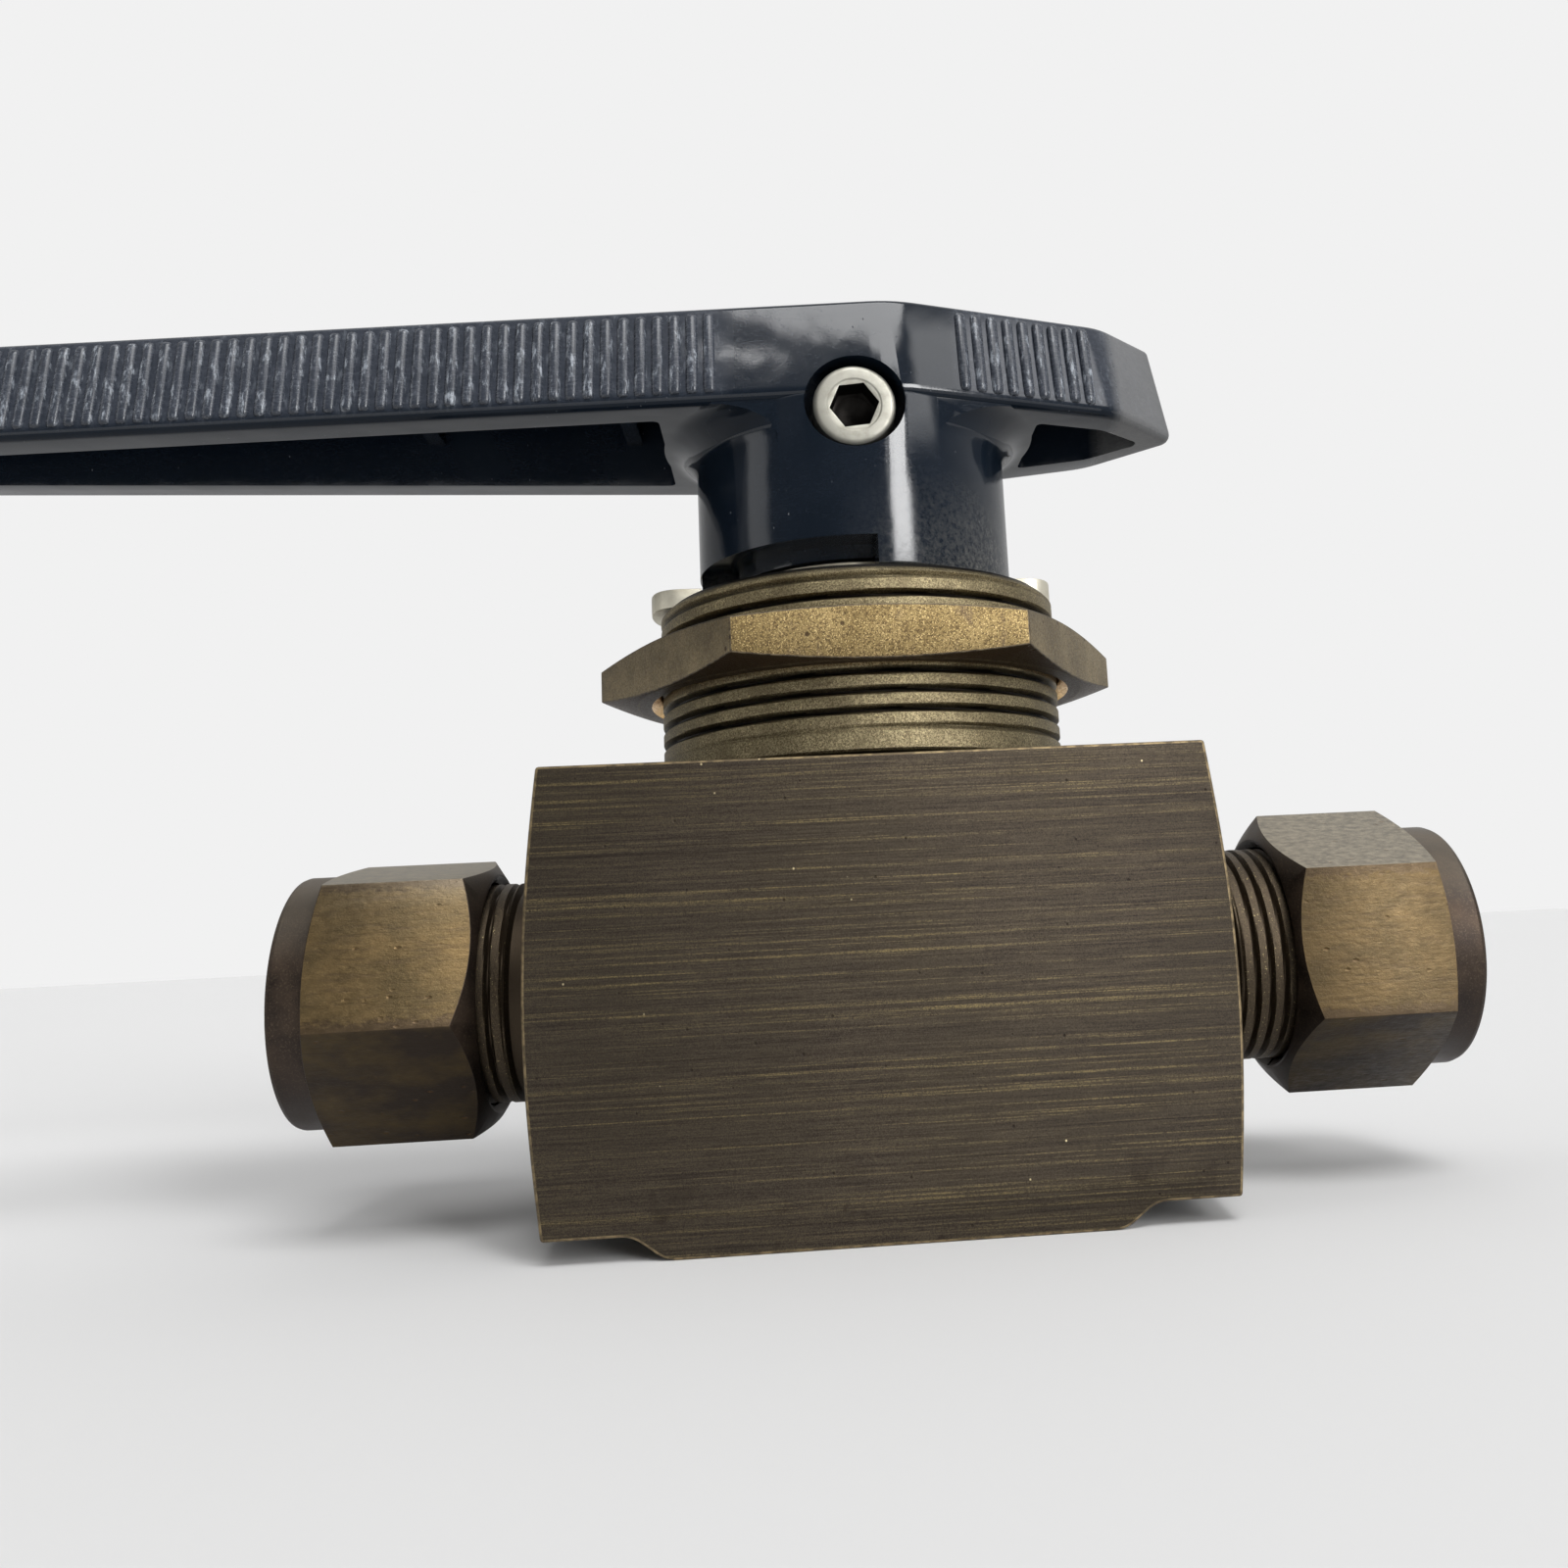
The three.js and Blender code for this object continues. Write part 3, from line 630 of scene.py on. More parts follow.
def thread_brass(name, thread, axis, crest, dull, root):
    """Machined thread, sandy and peppered on the crests, with the given colour in the roots; the
    neck's near-black root colour is painted shade.
    """
    s = Surface(name)
    x, y, z = s.parts(s.place)
    away = s.vector(x, y, 0.0) if axis == "z" else s.vector(0.0, y, s.minus(z, FLOW_Z))
    crests = s.span(s.length(away), thread["root"] + 0.15, thread["crest"] - 0.05)
    along = s.parts(s.normal)["xyz".index(axis)]
    end_face = s.span(s.size(along), 0.85, 0.97, 0, 0.75)
    high = s.math("MAXIMUM", crests, end_face)
    grain = s.noise(6.5, 4, 0.9)
    cloud = s.noise(0.35, 4, 0.6)
    sandy = s.blend(s.span(grain, 0.44, 0.6), dull, crest)
    sandy = s.blend(s.span(cloud, 0.4, 0.65, 0, 0.5), sandy, dull)
    glints = s.span(s.noise(5, 2, 0.7), 0.66, 0.72, 0, 0.6)
    sandy = s.blend(glints, sandy, tone(224, 204, 150))
    base = s.blend(high, root, sandy)
    rough = s.span(grain, 0.3, 0.7, 0.4, 0.56)
    s.set(Base_Color=base, Metallic=0.85, Roughness=rough, Normal=s.bump(grain, 0.025))
    return s.material


def bright_brass():
    s = Surface("bright_brass")
    lines = s.noise(3.0, 4, 0.7, s.stretch(s.place, (2, 0.4, 0.4)))
    spots = s.span(s.noise(0.8, 5, 0.6), 0.55, 0.72, 0, 0.6)
    base = s.blend(spots, tone(214, 170, 92), tone(128, 92, 48))
    rough = s.span(lines, 0.3, 0.7, 0.2, 0.38)
    s.set(Base_Color=base, Metallic=1.0, Roughness=rough, Normal=s.bump(lines, 0.012))
    return s.material


def stainless(name, shine, warm):
    """Satin stainless steel with fine turning lines and a few stains."""
    s = Surface(name)
    fine = s.noise(11, 3, 0.7)
    stain = s.noise(0.7, 5, 0.6)
    base = s.blend(s.span(stain, 0.45, 0.7, 0, 0.55), shine, warm)
    scratches = s.noise(3.5, 4, 0.7, s.stretch(s.place, (0.2, 1, 2.2)))
    rough = s.span(stain, 0.3, 0.7, 0.44, 0.58)
    relief = s.bump(scratches, 0.012, s.bump(fine, 0.006))
    s.set(Base_Color=base, Metallic=0.95, Roughness=rough, Normal=relief)
    return s.material


def ptfe():
    s = Surface("ptfe")
    cloud = s.noise(0.6, 4)
    base = s.blend(s.span(cloud, 0.35, 0.65), tone(226, 222, 210), tone(240, 238, 230))
    rough = s.span(cloud, 0.3, 0.7, 0.42, 0.6)
    s.set(Base_Color=base, Roughness=rough, Normal=s.bump(s.noise(6, 3), 0.01))
    return s.material


def black_nylon(name, rubbed, gloss=0.42):
    """Glossy moulded nylon with a blue cast; rubbed is how far handling has greyed it."""
    s = Surface(name)
    x, y, z = s.parts(s.place)
    ny = s.parts(s.normal)["Y"]
    cloud = s.noise(0.12, 4, 0.55)
    scratches = s.noise(1.1, 6, 0.75, s.stretch(s.place, (1.0, 1.0, 2.4)), 1.5)
    streaks = s.noise(1.6, 5, 0.8, s.stretch(s.place, (1.0, 1.0, 0.25)))
    nicks = s.span(s.cells(0.9, s.stretch(s.place, (1.4, 1.4, 0.7))), 0.08, 0.03)
    nicks = s.times(nicks, s.span(s.noise(0.35, 2), 0.54, 0.64))
    dust = s.times(s.span(z, *DUST_LOW), s.span(x, *DUST_RIGHT))
    dust = s.times(dust, s.span(s.noise(2.2, 6, 0.75), 0.4, 0.7))
    outer = s.span(s.times(y, ny), 0.4, 1.6)  # the flanks, but not the hollow's walls
    grip = s.times(s.span(s.size(s.minus(x, SMOOTH_MIDDLE)), *GRIP_OUT), outer)
    grip = s.times(grip, s.span(z, *GRIP_LOW))
    nose = s.span(x, *NOSE_SHEEN)
    base = s.blend(s.span(cloud, 0.35, 0.65), (0.004, 0.0075, 0.013), (0.007, 0.011, 0.018))
    layers = [
        (s.span(scratches, 0.52, 0.78, 0.1 * rubbed, rubbed), tone(92, 97, 105)),
        (s.times(grip, s.span(scratches, 0.4, 0.65, 0.2, 0.45)), tone(82, 86, 96)),
        (s.times(grip, s.span(streaks, 0.54, 0.66, 0, 0.12 + rubbed * 1.4)), tone(150, 156, 164)),
        # the tip: grey painted reflection, and a rougher surface
        (s.times(nose, s.span(scratches, 0.3, 0.7, 0.45, 0.8)), tone(112, 112, 112)),
        (s.times(dust, 0.4), tone(140, 138, 130)),
        (s.times(nicks, 0.5), tone(150, 154, 160)),
    ]
    for share, colour in layers:
        base = s.blend(share, base, colour)
    rough = s.span(scratches, 0.4, 0.75, 0.06 + 0.3 * rubbed, 0.13 + 0.4 * rubbed)
    rough = s.math("ADD", rough, s.times(s.math("ADD", dust, nose), 0.3))
    relief = s.bump(s.noise(0.16, 2, 0.4), 0.1)
    relief = s.bump(s.noise(5, 3, 0.6), 0.002 + 0.014 * rubbed, relief)
    relief = s.pits(nicks, 0.05, relief)
    s.set(Base_Color=base, Roughness=rough, Normal=relief, Specular_IOR_Level=gloss)
    return s.material


# ---- pieces of the fixed part ----
def end_face(r):
    """How far out the body's turned end is at this radius; it is a shallow cone."""
    return BODY["front_half"] - BODY["end_slope"] * (r - BODY["half_depth"])


def make_valve_body(materials):
    """Materials: the bar, its worn edges, the stubs."""
    foot, rise, beyond = BODY["foot_half"], BODY["foot_height"], 40
    half = [(foot, 0), (foot + BODY["foot_slope"], rise), (beyond, rise), (beyond, BODY["top"])]
    outline = rounded([(-x, z) for x, z in half] + [(x, z) for x, z in reversed(half)], 0.9)
    y = BODY["half_depth"]
    body = prism("valve_body", outline, -y, y, "y")
    ends = [(0, -end_face(0)), (30, -end_face(30)), (30, end_face(30)), (0, end_face(0))]
    common(body, turned("ends", ends, "x", (0, 0, FLOW_Z), 256))
    ease_edges(body, 0.22, angle=25, slot=1)
    for side in (1, -1):
        stub = turned("stub", stub_profile(side), "x", (0, 0, FLOW_Z), 144)
        join(body, paint(stub, 2))
        bore = [
            (0, side * 5),
            (TUBE["flow_r"], side * 5),
            (TUBE["flow_r"], side * TUBE["depth"]),
            (TUBE["r"], side * TUBE["depth"]),
            (TUBE["r"], side * (STUB["end"] - TUBE["mouth_depth"])),
            (TUBE["mouth_r"], side * STUB["end"]),
            (TUBE["mouth_r"], side * (STUB["end"] + 4)),
            (0, side * (STUB["end"] + 4)),
        ]
        cut(body, turned("bore", bore, "x", (0, 0, FLOW_Z), 96))
    chamber = [
        (0, CHAMBER["bottom"]),
        (CHAMBER["r"], CHAMBER["bottom"]),
        (CHAMBER["r"], CHAMBER["ledge"]),
        (CHAMBER["plug_r"], CHAMBER["ledge"]),
        (CHAMBER["plug_r"], BODY["top"] + 1),
        (0, BODY["top"] + 1),
    ]
    cut(body, turned("chamber", chamber, segments=96))
    return place(body, ["valve_body"], "root", materials)


def stub_profile(side):
    foot = end_face(0) - 4
    relief, end = STUB["relief_end"], STUB["end"]
    first, last = relief + 0.3, end - 0.7
    spread = (first, last) if side > 0 else (-last, -first)
    rows = thread_rows(STUB["root"], STUB["crest"], STUB["pitch"], *spread, 0.5)[::side]
    outer = [(0, side * foot), (STUB["relief_r"], side * foot), (STUB["relief_r"], side * relief)]
    return outer + rows + [(STUB["root"] + 0.2, side * end), (0, side * end)]


def make_packing_bolt(materials):
    start = NECK["bottom"] + NECK["plain"]
    end = NECK["top"] - 0.75
    thread = thread_rows(NECK["root"], NECK["crest"], NECK["pitch"], start, end, 0.9, 14)
    inside = NECK["stem_r"]
    low = CHAMBER["ledge"] + GAP
    plug = CHAMBER["plug_r"] - GAP
    profile = [
        (inside, low),
        (plug - 0.5, low),
        (plug, low + 0.5),
        (plug, NECK["bottom"]),
        (NECK["crest"] - 0.2, NECK["bottom"]),
        (NECK["crest"], NECK["bottom"] + 0.2),
        *thread,
        (NECK["crest"] - 0.25, NECK["top"] - 0.45),
        (NECK["crest"] - 0.8, NECK["top"]),
        (NECK["boss_r"] + 1, NECK["top"]),
        (inside, NECK["top"]),
        (inside, low),
    ]
    bolt = turned("packing_bolt", profile, segments=256)
    ring = [
        (inside, NECK["top"] - 1),
        (NECK["boss_r"], NECK["top"] - 1),
        (NECK["boss_r"], NECK["boss_top"] - 0.3),
        (NECK["boss_r"] - 0.3, NECK["boss_top"]),
        (inside, NECK["boss_top"]),
        (inside, NECK["top"] - 1),
    ]
    flat = NECK["boss_flat"]
    boss = turned("boss", ring, segments=96)
    common(boss, block("flats", (-flat, -12, NECK["top"] - 2), (flat, 12, NECK["boss_top"] + 1)))
    join(bolt, boss)
    return place(bolt, ["packing_bolt"], "root", materials)


def stop_ear(side):
    """One ear, cut to clear the turning hub, and its arm. Side is 1 for +X, -1 for -X."""
    reach, ear, arm = STOP_REACH[side], STOP["ear"], STOP["arm"]
    low, high = STOP["bottom"], STOP["bottom"] + STOP["height"]
    steps = [k / 16 for k in range(17)]
    corner = [(reach - 3 * (1 - k) ** 2, -ear * (1 - k * k)) for k in steps]
    outline = [(0, -ear)] + corner + [(x, -y) for x, y in reversed(corner)][1:] + [(0, ear)]
    plate = prism("ear", [(side * x, side * y) for x, y in outline], low, high)
    cut(plate, bar("clear", HUB["r"] + GAP, low - 1, high + 1, segments=128))
    inner, outer = sorted((0, side * (HUB["r"] + 2)))
    return join(plate, block("arm", (inner, -arm, low), (outer, arm, high)))


def make_stop_plate(materials):
    low, high = STOP["bottom"], STOP["bottom"] + STOP["height"]
    plate = bar("stop_plate", STOP["ring_r"], low, high, segments=128)
    join(plate, stop_ear(1), stop_ear(-1))
    key = NECK["boss_flat"] + GAP
    hole = bar("hole", NECK["boss_r"] + GAP, low - 1, high + 1)
    cut(plate, common(hole, block("key", (-key, -12, low - 2), (key, 12, high + 2))))
    ease_edges(plate, 0.28, angle=40, segments=3)
    return place(plate, ["stop_plate"], "root", materials)


def make_panel_nut(materials):
    """Materials: the nut, its bore, its eased edges."""
    flats = PANEL_NUT["flats"]
    low, high = PANEL_NUT["bottom"], PANEL_NUT["bottom"] + PANEL_NUT["height"]
    nut = hex_bar("panel_nut", flats, low, high, turn=PANEL_NUT["turn"])
    clear = flats / math.sqrt(3) + 0.6
    edge = 0.95
    envelope = [
        (0, low),
        (flats / 2 - 0.2, low),
        (clear, low + edge),
        (clear, high - edge),
        (flats / 2 - 0.2, high),
        (0, high),
    ]
    common(nut, turned("envelope", envelope, segments=288))
    ease_edges(nut, 0.13, angle=12, slot=2)
    lead = 0.8
    bore_r = PANEL_NUT["bore_r"]
    mouth_r = bore_r + lead
    bore = [(0, low - 1), (mouth_r + 1, low - 1), (mouth_r, low), (bore_r, low + lead)]
    bore += [(bore_r, high - lead), (mouth_r, high), (mouth_r + 1, high + 1), (0, high + 1)]
    cut(nut, paint(turned("bore", bore, segments=192), 1))
    return place(nut, ["panel_nut"], "panel_nut", materials)


# ---- lever ----
def half_width(x):
    """Half the lever's width at its foot."""
    for (x0, w0), (x1, w1) in zip(LEVER_PLAN, LEVER_PLAN[1:]):
        if x <= x1:
            return w0 + (w1 - w0) * (x - x0) / (x1 - x0)
    return 0


def loft(name, levels):
    """A solid through outlines of equal length, as (outline, height) from the bottom up."""
    count = len(levels[0][0])
    points = [(x, y, z) for outline, z in levels for x, y in outline]
    faces = [list(range(count)), list(range(len(points) - count, len(points)))]
    for level in range(len(levels) - 1):
        for i in range(count):
            a, b = level * count + i, level * count + (i + 1) % count
            faces.append([a, b, b + count, a + count])
    return mesh_object(name, points, faces)


def lean(z):
    """How far the lever's sides have come in at this height."""
    return LEVER["draft"] * (z - LEVER["bottom"]) / (LEVER["top"] - LEVER["bottom"])


def both_sides(side):
    """A closed outline from points along one side, as (x, half width)."""
    return [(x, -w) for x, w in side] + [(x, w) for x, w in reversed(side)]


def lever_outline(inset):
    """The lever's outline, pulled in by the same amount all round, with its corners rounded."""
    shift = [(0.9, 0.5), (0.2, 1), (0, 1), (-0.3, 1), (-0.9, 0.3)]
    side = [(x + inset * a, max(w - inset * b, 0.1)) for (x, w), (a, b) in zip(LEVER_PLAN, shift)]
    radii = [0.8, 1.2, 2.2, 1.5, 0.5]
    return rounded(both_sides(side), radii + radii[::-1])


def lever_shell():
    """The lever before it is hollowed, with its lower and upper edges rounded."""
    foot, crown, steps = 1.0, 0.5, 5
    turns = [k / steps * math.pi / 2 for k in range(steps + 1)]
    levels = []
    for a in turns:
        z = LEVER["bottom"] + foot * (1 - math.cos(a))
        levels.append((lever_outline(lean(z) + foot * (1 - math.sin(a))), z))
    for a in turns:
        z = LEVER["top"] - crown * (1 - math.sin(a))
        levels.append((lever_outline(lean(z) + crown * (1 - math.cos(a))), z))
    return loft("handle_lever", levels)


def channel(name, stations):
    """The hollow under the lever between stations, inside the side walls."""

    def outline(z):
        side = [(x, max(half_width(x) - LEVER["wall"] - lean(z), 0.4)) for x in stations]
        return rounded(both_sides(side), 0.8)

    low, high = LEVER["bottom"], LEVER["roof"]
    return loft(name, [(outline(low), low - 1), (outline(high), high)])


def grip_rib(points, faces, x, side):
    """Adds one half-round rib, domed at both ends, on a flank."""
    slope = (half_width(x + 0.1) - half_width(x - 0.1)) / 0.2
    along = Vector((1, side * slope, 0)).normalized()
    low = Vector((x, side * (half_width(x) - lean(RIB["bottom"])), RIB["bottom"]))
    high = Vector((x, side * (half_width(x) - lean(RIB["top"])), RIB["top"]))
    rise = (high - low).normalized()
    out = along.cross(rise)
    out = out if out.y * side > 0 else -out
    length = (high - low).length
    rings = [(0.0, 0.0), (0.06, 0.55), (0.22, 0.85), (0.5, 1.0)]  # from the end, share of height
    rings = rings + [(length - s, share) for s, share in reversed(rings)]
    start = len(points)
    round_steps = 8
    for s, share in rings:
        centre = low + rise * s
        for k in range(round_steps + 1):
            a = math.pi * k / round_steps
            width = RIB["half"] * (0.45 + 0.55 * share)
            height = RIB["height"] * share * math.sin(a)
            points.append(centre + along * width * math.cos(a) + out * height)
        points.append(centre - out * 0.3)
    row = round_steps + 2
    for level in range(len(rings) - 1):
        for k in range(row):
            a, b = start + level * row + k, start + level * row + (k + 1) % row
            faces.append([a, b, b + row, a + row])
    faces.append([start + k for k in range(row)])
    faces.append([start + (len(rings) - 1) * row + k for k in range(row)])


def grip_ribs():
    points, faces = [], []
    for start, end in RIB_RUNS:
        for k in range(int((end - start) / RIB["pitch"]) + 1):
            for side in (-1, 1):
                grip_rib(points, faces, start + k * RIB["pitch"], side)
    return mesh_object("ribs", points, faces)


def skirt_slot(start):
    """What is cut from the skirt, so that a stop plate's arm has a quarter turn."""
    half = math.asin((STOP["arm"] + 0.25) / HUB["skirt_r"])
    first, last = start * DEG - half, (start + 90) * DEG + half
    steps = 24
    angles = [first + (last - first) * k / steps for k in range(steps + 1)]
    inner, outer = HUB["skirt_r"] - 1, HUB["r"] + 1
    outline = [(outer * math.cos(a), outer * math.sin(a)) for a in angles]
    outline += [(inner * math.cos(a), inner * math.sin(a)) for a in reversed(angles)]
    return prism("slot", outline, HUB["bottom"] - 1, HUB["slot_top"])


def hub_column():
    """The round hub, which flares out into the underside of the lever fore and aft."""
    flare, steps = 3.0, 10
    r, foot, top = HUB["r"], HUB["bottom"], LEVER["bottom"]
    profile = [(0, top - flare - 1), (r, top - flare - 1)]
    for k in range(steps + 1):
        a = k / steps * math.pi / 2
        profile.append((r + flare * (1 - math.cos(a)), top - flare * (1 - math.sin(a))))
    profile += [(r + flare, top + 0.6), (0, top + 0.6)]
    flared = turned("flare", profile, segments=192)
    common(flared, prism("bound", lever_outline(0.5), top - flare - 2, top + 0.5))
    rows = eased([(0, foot), (r, foot), (r, top + 0.3), (0, top + 0.3)], 0.25)
    return join(turned("hub", rows, segments=192), flared)


def make_handle_lever(materials):
    """Materials: the nylon, the grip ribs, the underside."""
    lever = lever_shell()
    tail, nose = LEVER_PLAN[0][0] + LEVER["wall"], LEVER_PLAN[-1][0] - LEVER["wall"]
    back = channel("back", [tail, LEVER_PLAN[1][0] + 1, -LEVER["web"]])
    half = CROSS_RIB["thick"] / 2
    for x in CROSS_RIBS:
        low, high = (x - half, -20, CROSS_RIB["bottom"]), (x + half, 20, LEVER["roof"] + 1)
        cut(back, block("cross", low, high))
    cut(lever, back, channel("front", [LEVER["web"], LEVER_PLAN[3][0] - 0.6, nose]))
    join(lever, hub_column())
    cut(lever, bar("skirt", HUB["skirt_r"], HUB["bottom"] - 1, HUB["skirt_top"], segments=128))
    cut(lever, bar("pocket", HUB["pocket_r"], HUB["skirt_top"] - 1, HUB["pocket_top"]))
    cut(lever, bar("socket", INSERT["r"] + 0.2, HUB["pocket_top"] - 1, INSERT["top"] + 0.3))
    cut(lever, skirt_slot(180), skirt_slot(0))
    screw = (0, 0, SCREW["z"])
    seat = SCREW["head"] + GAP - SCREW["face"]
    cut(lever, bar("counterbore", SCREW["recess_r"], -20, seat, "y", screw))
    cut(lever, bar("through", SCREW["shank_r"] + GAP, -12, 0, "y", screw, 48))
    ease_edges(lever, 0.22, angle=38)

    def faces_down(centre, normal):
        return normal.z < UNDERSIDE["slope"] and centre.z > UNDERSIDE["above"]

    paint(lever, 2, faces_down)
    add_mesh(lever, paint(grip_ribs(), 1))
    return place(lever, ["handle_lever"], "handle", materials, 40)


def make_handle_screw(materials):
    """Materials: the screw, its socket."""
    face, head_r, head = SCREW["face"], SCREW["head_r"], SCREW["head"]
    profile = [
        (0, 0.1 - face),
        (head_r - 1.35, 0.1 - face),
        (head_r - 1.2, -face),
        (head_r - 0.5, -face),
        (head_r - 0.25, 0.06 - face),
        (head_r - 0.06, 0.24 - face),
        (head_r, 0.5 - face),
        (head_r, head - face - 0.15),
        (head_r - 0.15, head - face),
        (SCREW["shank_r"], head - face),
        (SCREW["shank_r"], -SCREW["tip"] - 0.5),
        (SCREW["shank_r"] - 0.5, -SCREW["tip"]),
        (0, -SCREW["tip"]),
    ]
    screw = turned("handle_screw", profile, "y", (0, 0, SCREW["z"]), 128)
    centre = (0, 0, SCREW["z"])
    depth, turn = 2.4, 24
    socket = hex_bar("socket", SCREW["socket"], -face - 1, depth - face, "y", centre, turn)
    cut(screw, paint(socket, 1))
    ease_edges(screw, 0.08, angle=50)
    cone = [(0, 2.3 - face), (1.75, 2.3 - face), (0, 3.7 - face)]
    cut(screw, paint(turned("drill_point", cone, "y", centre, 48), 1))
    return place(screw, ["handle_screw"], "handle", materials)


# ---- tube fittings ----
def make_tube_nut(side, materials):
    """The nut, from its outer end inwards. Materials: the facets, then the turned ends and bore."""
    fitting = FITTINGS[side]
    end, way, turn = fitting["end"], fitting["mirror"], 90 + fitting["turn"]
    clear = NUT["flats"] / math.sqrt(3) + 0.4
    centre = (0, 0, FLOW_Z)
    name = f"tube_nut_{side}"

    def at(s):
        return end + way * s

    nut = hex_bar(name, NUT["flats"], at(0), at(NUT["length"]), "x", centre, turn)
    envelope = [
        (0, at(0)),
        (NUT["collar_r"] - 0.45, at(0)),
        (NUT["collar_r"] - 0.12, at(0.12)),
        (NUT["collar_r"], at(0.45)),
        (NUT["collar_r"], at(NUT["collar"])),
        (clear, at(NUT["collar"] + (clear - NUT["collar_r"]) * NUT["outer_cone"])),
        (clear, at(NUT["length"] - (clear - NUT["inner_r"]) * NUT["inner_cone"])),
        (NUT["inner_r"] + 0.3, at(NUT["length"] - 0.2)),
        (NUT["inner_r"], at(NUT["length"])),
        (0, at(NUT["length"])),
    ]
    common(nut, turned("envelope", envelope, "x", centre, 256))
    ease_edges(nut, 0.14, angle=9)

    def is_turned(middle, normal):
        radius = math.hypot(middle.y, middle.z - FLOW_Z)
        on_collar = radius > NUT["collar_r"] - 0.3 and abs(middle.x - end) < NUT["collar"]
        return abs(normal.x) > 0.2 or on_collar

    paint(nut, 1, is_turned)
    bore = [
        (0, at(-1)),
        (TUBE["r"] + 1.2, at(-1)),
        (TUBE["r"] + 0.6, at(0)),
        (TUBE["r"] + 0.1, at(0.5)),
        (TUBE["r"] + 0.1, at(NUT["shoulder"])),
        (NUT["ferrule_r"], at(NUT["shoulder"] + 1)),
        (NUT["ferrule_r"], at(NUT["ferrule_end"])),
        (NUT["thread_r"], at(NUT["ferrule_end"] + 0.8)),
        (NUT["thread_r"], at(NUT["length"] - 0.5)),
        (NUT["thread_r"] + 0.5, at(NUT["length"])),
        (NUT["thread_r"] + 0.9, at(NUT["length"] + 0.5)),
        (0, at(NUT["length"] + 0.5)),
    ]
    cut(nut, paint(turned("bore", bore, "x", centre, 128), 1))
    return place(nut, [name], f"{side}_nut", materials)


def make_ferrules(side, material):
    """Both ferrules, with profiles as (radius, distance from the nut's outer end)."""
    fitting = FITTINGS[side]
    end, way = fitting["end"], fitting["mirror"]
    inner = TUBE["r"] + 0.05
    front = [(inner, 10.6), (inner + 0.2, 10.6), (7.35, 8), (7.6, 7.5)]
    front += [(7.6, 6.6), (7, 6.6), (inner, 7.6)]
    back = [(inner, 7.2), (inner + 0.25, 7.2), (6.8, 6.2), (6.8, 5.6)]
    back += [(7.5, 5.1), (7.2, 4.3), (6.7, 4.1), (inner, 4.3)]
    for name, profile in (("front_ferrule", front), ("back_ferrule", back)):
        rows = [(r, end + way * s) for r, s in [*profile, profile[0]]]
        ferrule = turned(f"{name}_{side}", eased(rows, 0.12), "x", (0, 0, FLOW_Z), 96)
        place(ferrule, [f"{name}_{side}"], f"{side}_ferrules", [material])


# ---- studio ----
def make_camera():
    """The photograph's viewpoint, just in front of the valve and looking slightly up at it."""
    camera = bpy.data.objects.new("camera", bpy.data.cameras.new("camera"))
    bpy.context.scene.collection.objects.link(camera)
    camera.data.sensor_width = 36
    camera.data.lens = CAMERA["lens"]
    camera.data.shift_x, camera.data.shift_y = CAMERA["shift"]
    camera.data.clip_start, camera.data.clip_end = 0.005, 20
    turn = Matrix.Identity(3)
    for axis, angle in CAMERA["turns"]:
        turn = turn @ Matrix.Rotation(angle, 3, axis)
    swap = Matrix(((1, 0, 0), (0, 0, -1), (0, 1, 0)))  # part axes to right, down and forward
    right, down, forward = turn @ swap
    facing = Matrix((right, -down, -forward)).transposed().to_4x4()
    camera.matrix_world = Matrix.Translation(Vector(CAMERA["place"]) * MM) @ facing
    bpy.context.scene.camera = camera


def make_floor():
    s = Surface("floor")
    low, high = [(grey, grey, grey) for grey in FLOOR["greys"]]
    s.set(Base_Color=s.blend(s.noise(0.002, 2), low, high), Roughness=0.9)
    half = FLOOR["half"]
    floor = block("floor", (-half, -half, -FLOOR["thick"]), (half, half, 0))
    dress(floor, [s.material])


class Sky(Graph):
    """Light by direction: a pale room that is dimmer in front, and soft windows."""

    def __init__(self, world):
        super().__init__(world.node_tree)
        self.x, self.y, self.z = self.parts(self.node("TexCoord")["Generated"])

    def fade(self, value, low, high, to_low=0.0, to_high=1.0):
        return self.span(value, low, high, to_low, to_high, "SMOOTHSTEP")

    def within(self, value, centre, half, soft):
        """1 within half of the centre, fading to 0 over the soft edge; all in degrees."""
        off = self.size(self.minus(value, centre * DEG))
        return self.fade(off, (half + soft) * DEG, half * DEG)

    def window(self, azimuth, elevation, width, height, soft, strength):
        across = self.within(self.math("ARCTAN2", self.y, self.x), azimuth, width / 2, soft)
        up = self.within(self.math("ARCSINE", self.z), elevation, height / 2, soft)
        return self.times(self.times(across, up), strength)


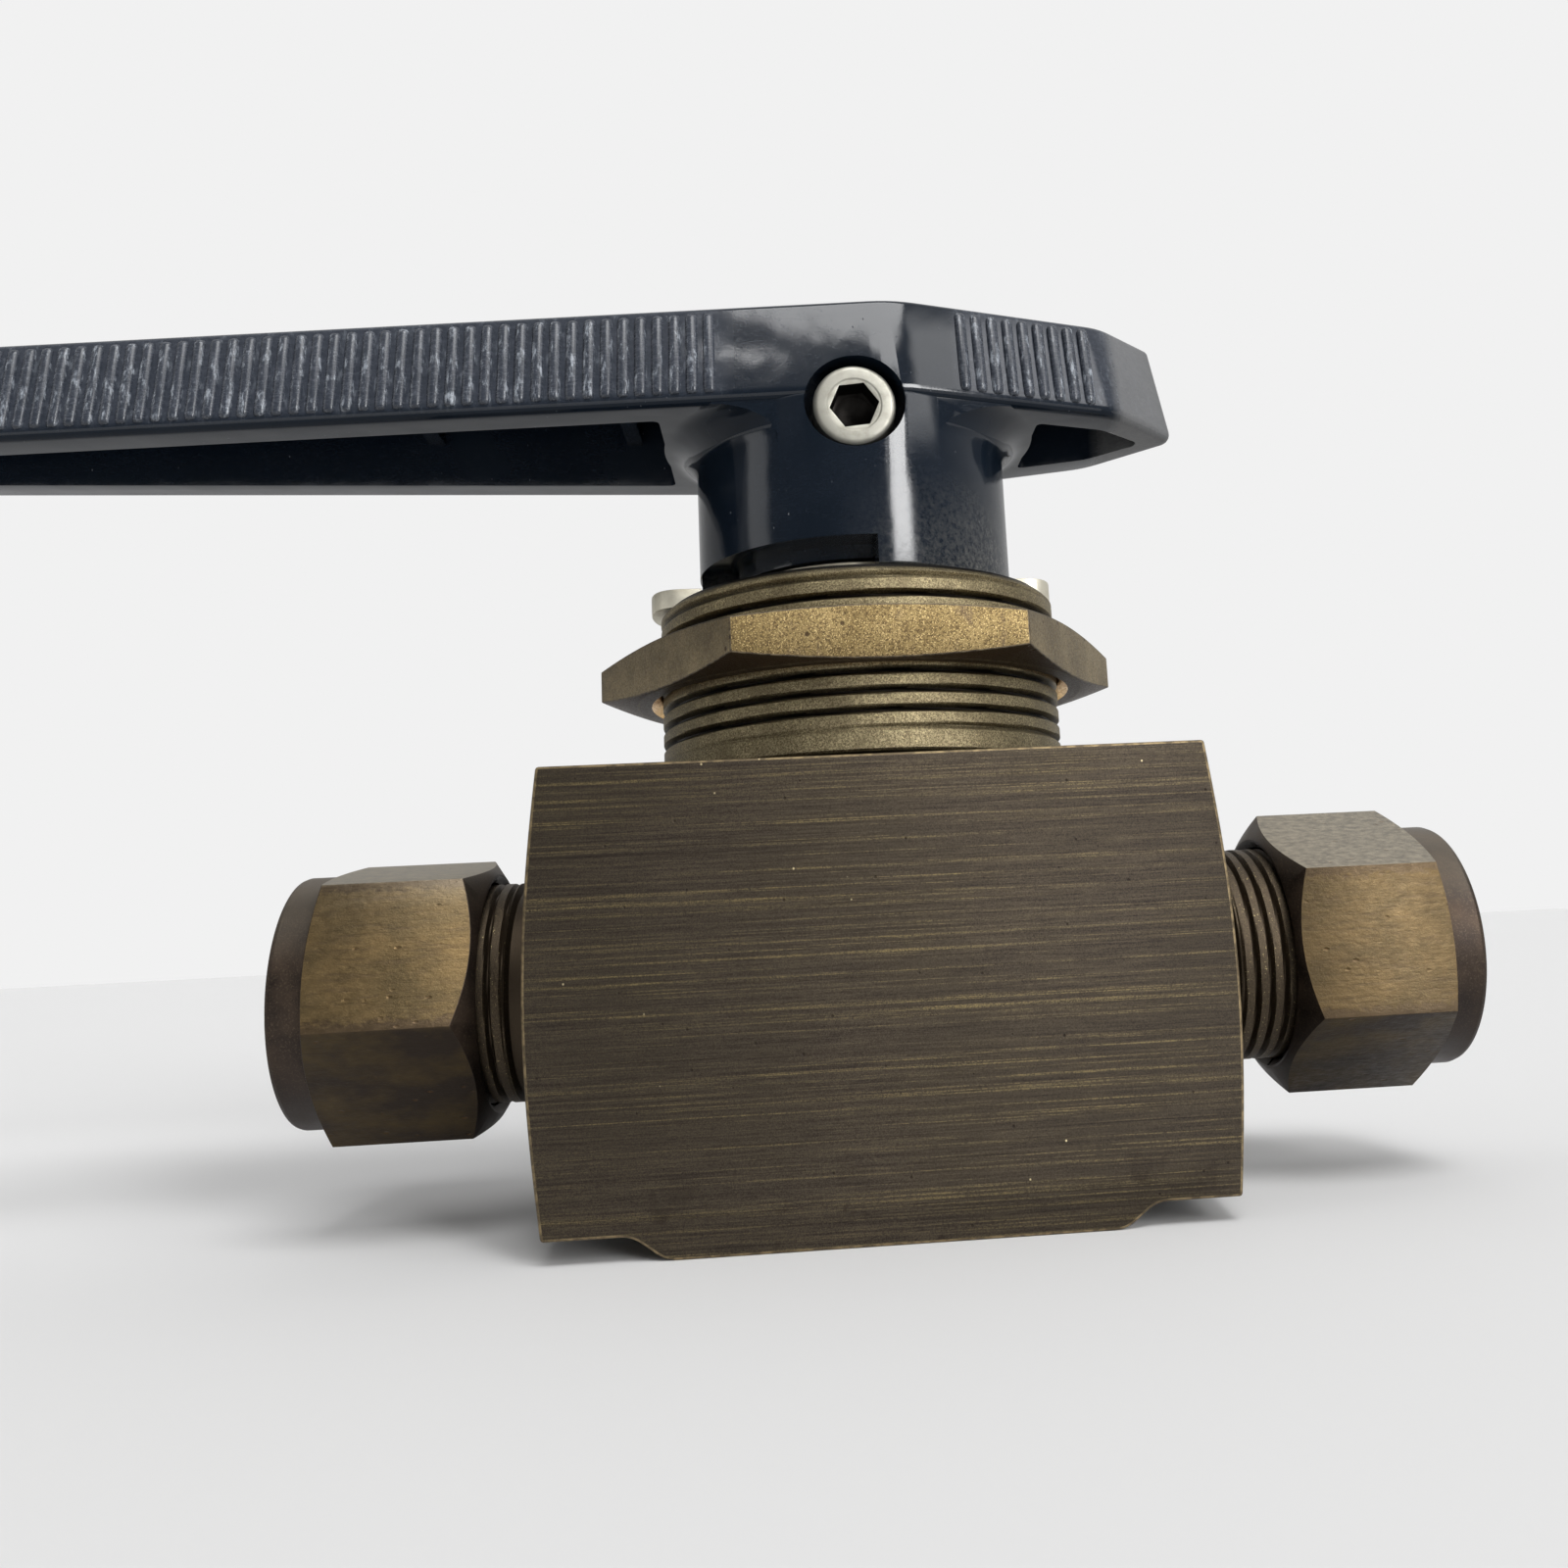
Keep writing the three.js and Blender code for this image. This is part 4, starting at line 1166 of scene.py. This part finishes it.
def make_light():
    """A room with soft windows and a wide sun. The camera itself sees a plain backdrop."""
    world = bpy.data.worlds.new("studio")
    bpy.context.scene.world = world
    world.use_nodes = True
    sky = Sky(world)
    room = sky.fade(sky.y, -0.7, 0.3, 0.12, 0.55)
    room = sky.times(room, sky.fade(sky.x, -0.9, 0.1, 0.6, 1.0))
    overhead = sky.fade(sky.z, 0.35, 0.95, 0.0, 0.25)
    total = sky.math("ADD", room, overhead)
    for window in WINDOWS:
        total = sky.math("ADD", total, sky.window(*window))
    seen = sky.node("LightPath")["Is Camera Ray"]
    strength = sky.node("Mix", {0: seen, 2: total, 3: BACKDROP}, data_type="FLOAT")[0]
    glow = sky.node("Background", {"Color": (1, 1, 1), "Strength": strength})[0]
    sky.node("OutputWorld", {0: glow})
    sun = bpy.data.objects.new("sun", bpy.data.lights.new("sun", "SUN"))
    sun.data.energy, sun.data.angle = SUN["strength"], SUN["spread"] * DEG
    sun.rotation_euler = Vector(SUN["from"]).to_track_quat("Z", "Y").to_euler()
    bpy.context.scene.collection.objects.link(sun)
    bpy.context.scene.view_settings.view_transform = "Standard"


make_camera()
make_floor()
make_light()

BAR = aged_bar()
BAR_EDGE = aged_bar("aged_bar_edge", 0.8)
STUB_BRASS = thread_brass(
    "stub_brass", STUB, "x", tone(94, 82, 65), tone(66, 57, 46), tone(68, 58, 46)
)
# the neck's near-black root colour is painted shade in the thread's grooves
NECK_BRASS = thread_brass(
    "neck_brass", NECK, "z", tone(172, 159, 124), tone(88, 78, 58), tone(16, 12, 7)
)
PANEL_BRASS = speckled_brass()
PANEL_EDGE = dark_edge("panel_nut_edge", tone(64, 56, 50), tone(120, 108, 86))
COLLAR = collar_brass()
BRIGHT = bright_brass()
SCREW_STEEL = stainless("screw_steel", tone(176, 174, 164), tone(140, 138, 126))
# the socket's steel painted near black: painted shade in the hex socket and drill point
SOCKET_SHADE_STEEL = stainless("socket_shade_steel", tone(40, 38, 36), tone(20, 19, 18))
PLATE_STEEL = stainless("plate_steel", tone(222, 217, 200), tone(182, 173, 152))
SEAL = ptfe()
NYLON = black_nylon("black_nylon", 0.06)
NYLON_RIB = black_nylon("black_nylon_rib", 0.55)
NYLON_UNDER = black_nylon("black_nylon_under", 0.0, 0.14)

make_valve_body([BAR, BAR_EDGE, STUB_BRASS])
make_packing_bolt([NECK_BRASS])
make_stop_plate([PLATE_STEEL])
make_panel_nut([PANEL_BRASS, BRIGHT, PANEL_EDGE])
make_handle_lever([NYLON, NYLON_RIB, NYLON_UNDER])
make_handle_screw([SCREW_STEEL, SOCKET_SHADE_STEEL])
for fitting_side in FITTINGS:
    make_tube_nut(fitting_side, [fitting_brass(fitting_side), COLLAR])
    make_ferrules(fitting_side, BRIGHT)
for node_name in ("upper_packing", "lower_packing"):
    dress(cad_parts[node_name], [SEAL])
for node_name in ("ball_stem", "upper_gland", "lower_gland", "ground_spring"):
    dress(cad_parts[node_name], [SCREW_STEEL])
for part_name in ("side_disc", "side_ring"):
    for fitting_side in FITTINGS:
        dress(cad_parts[f"{part_name}_{fitting_side}"], [SCREW_STEEL])
dress(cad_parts["handle_insert"], [BRIGHT])
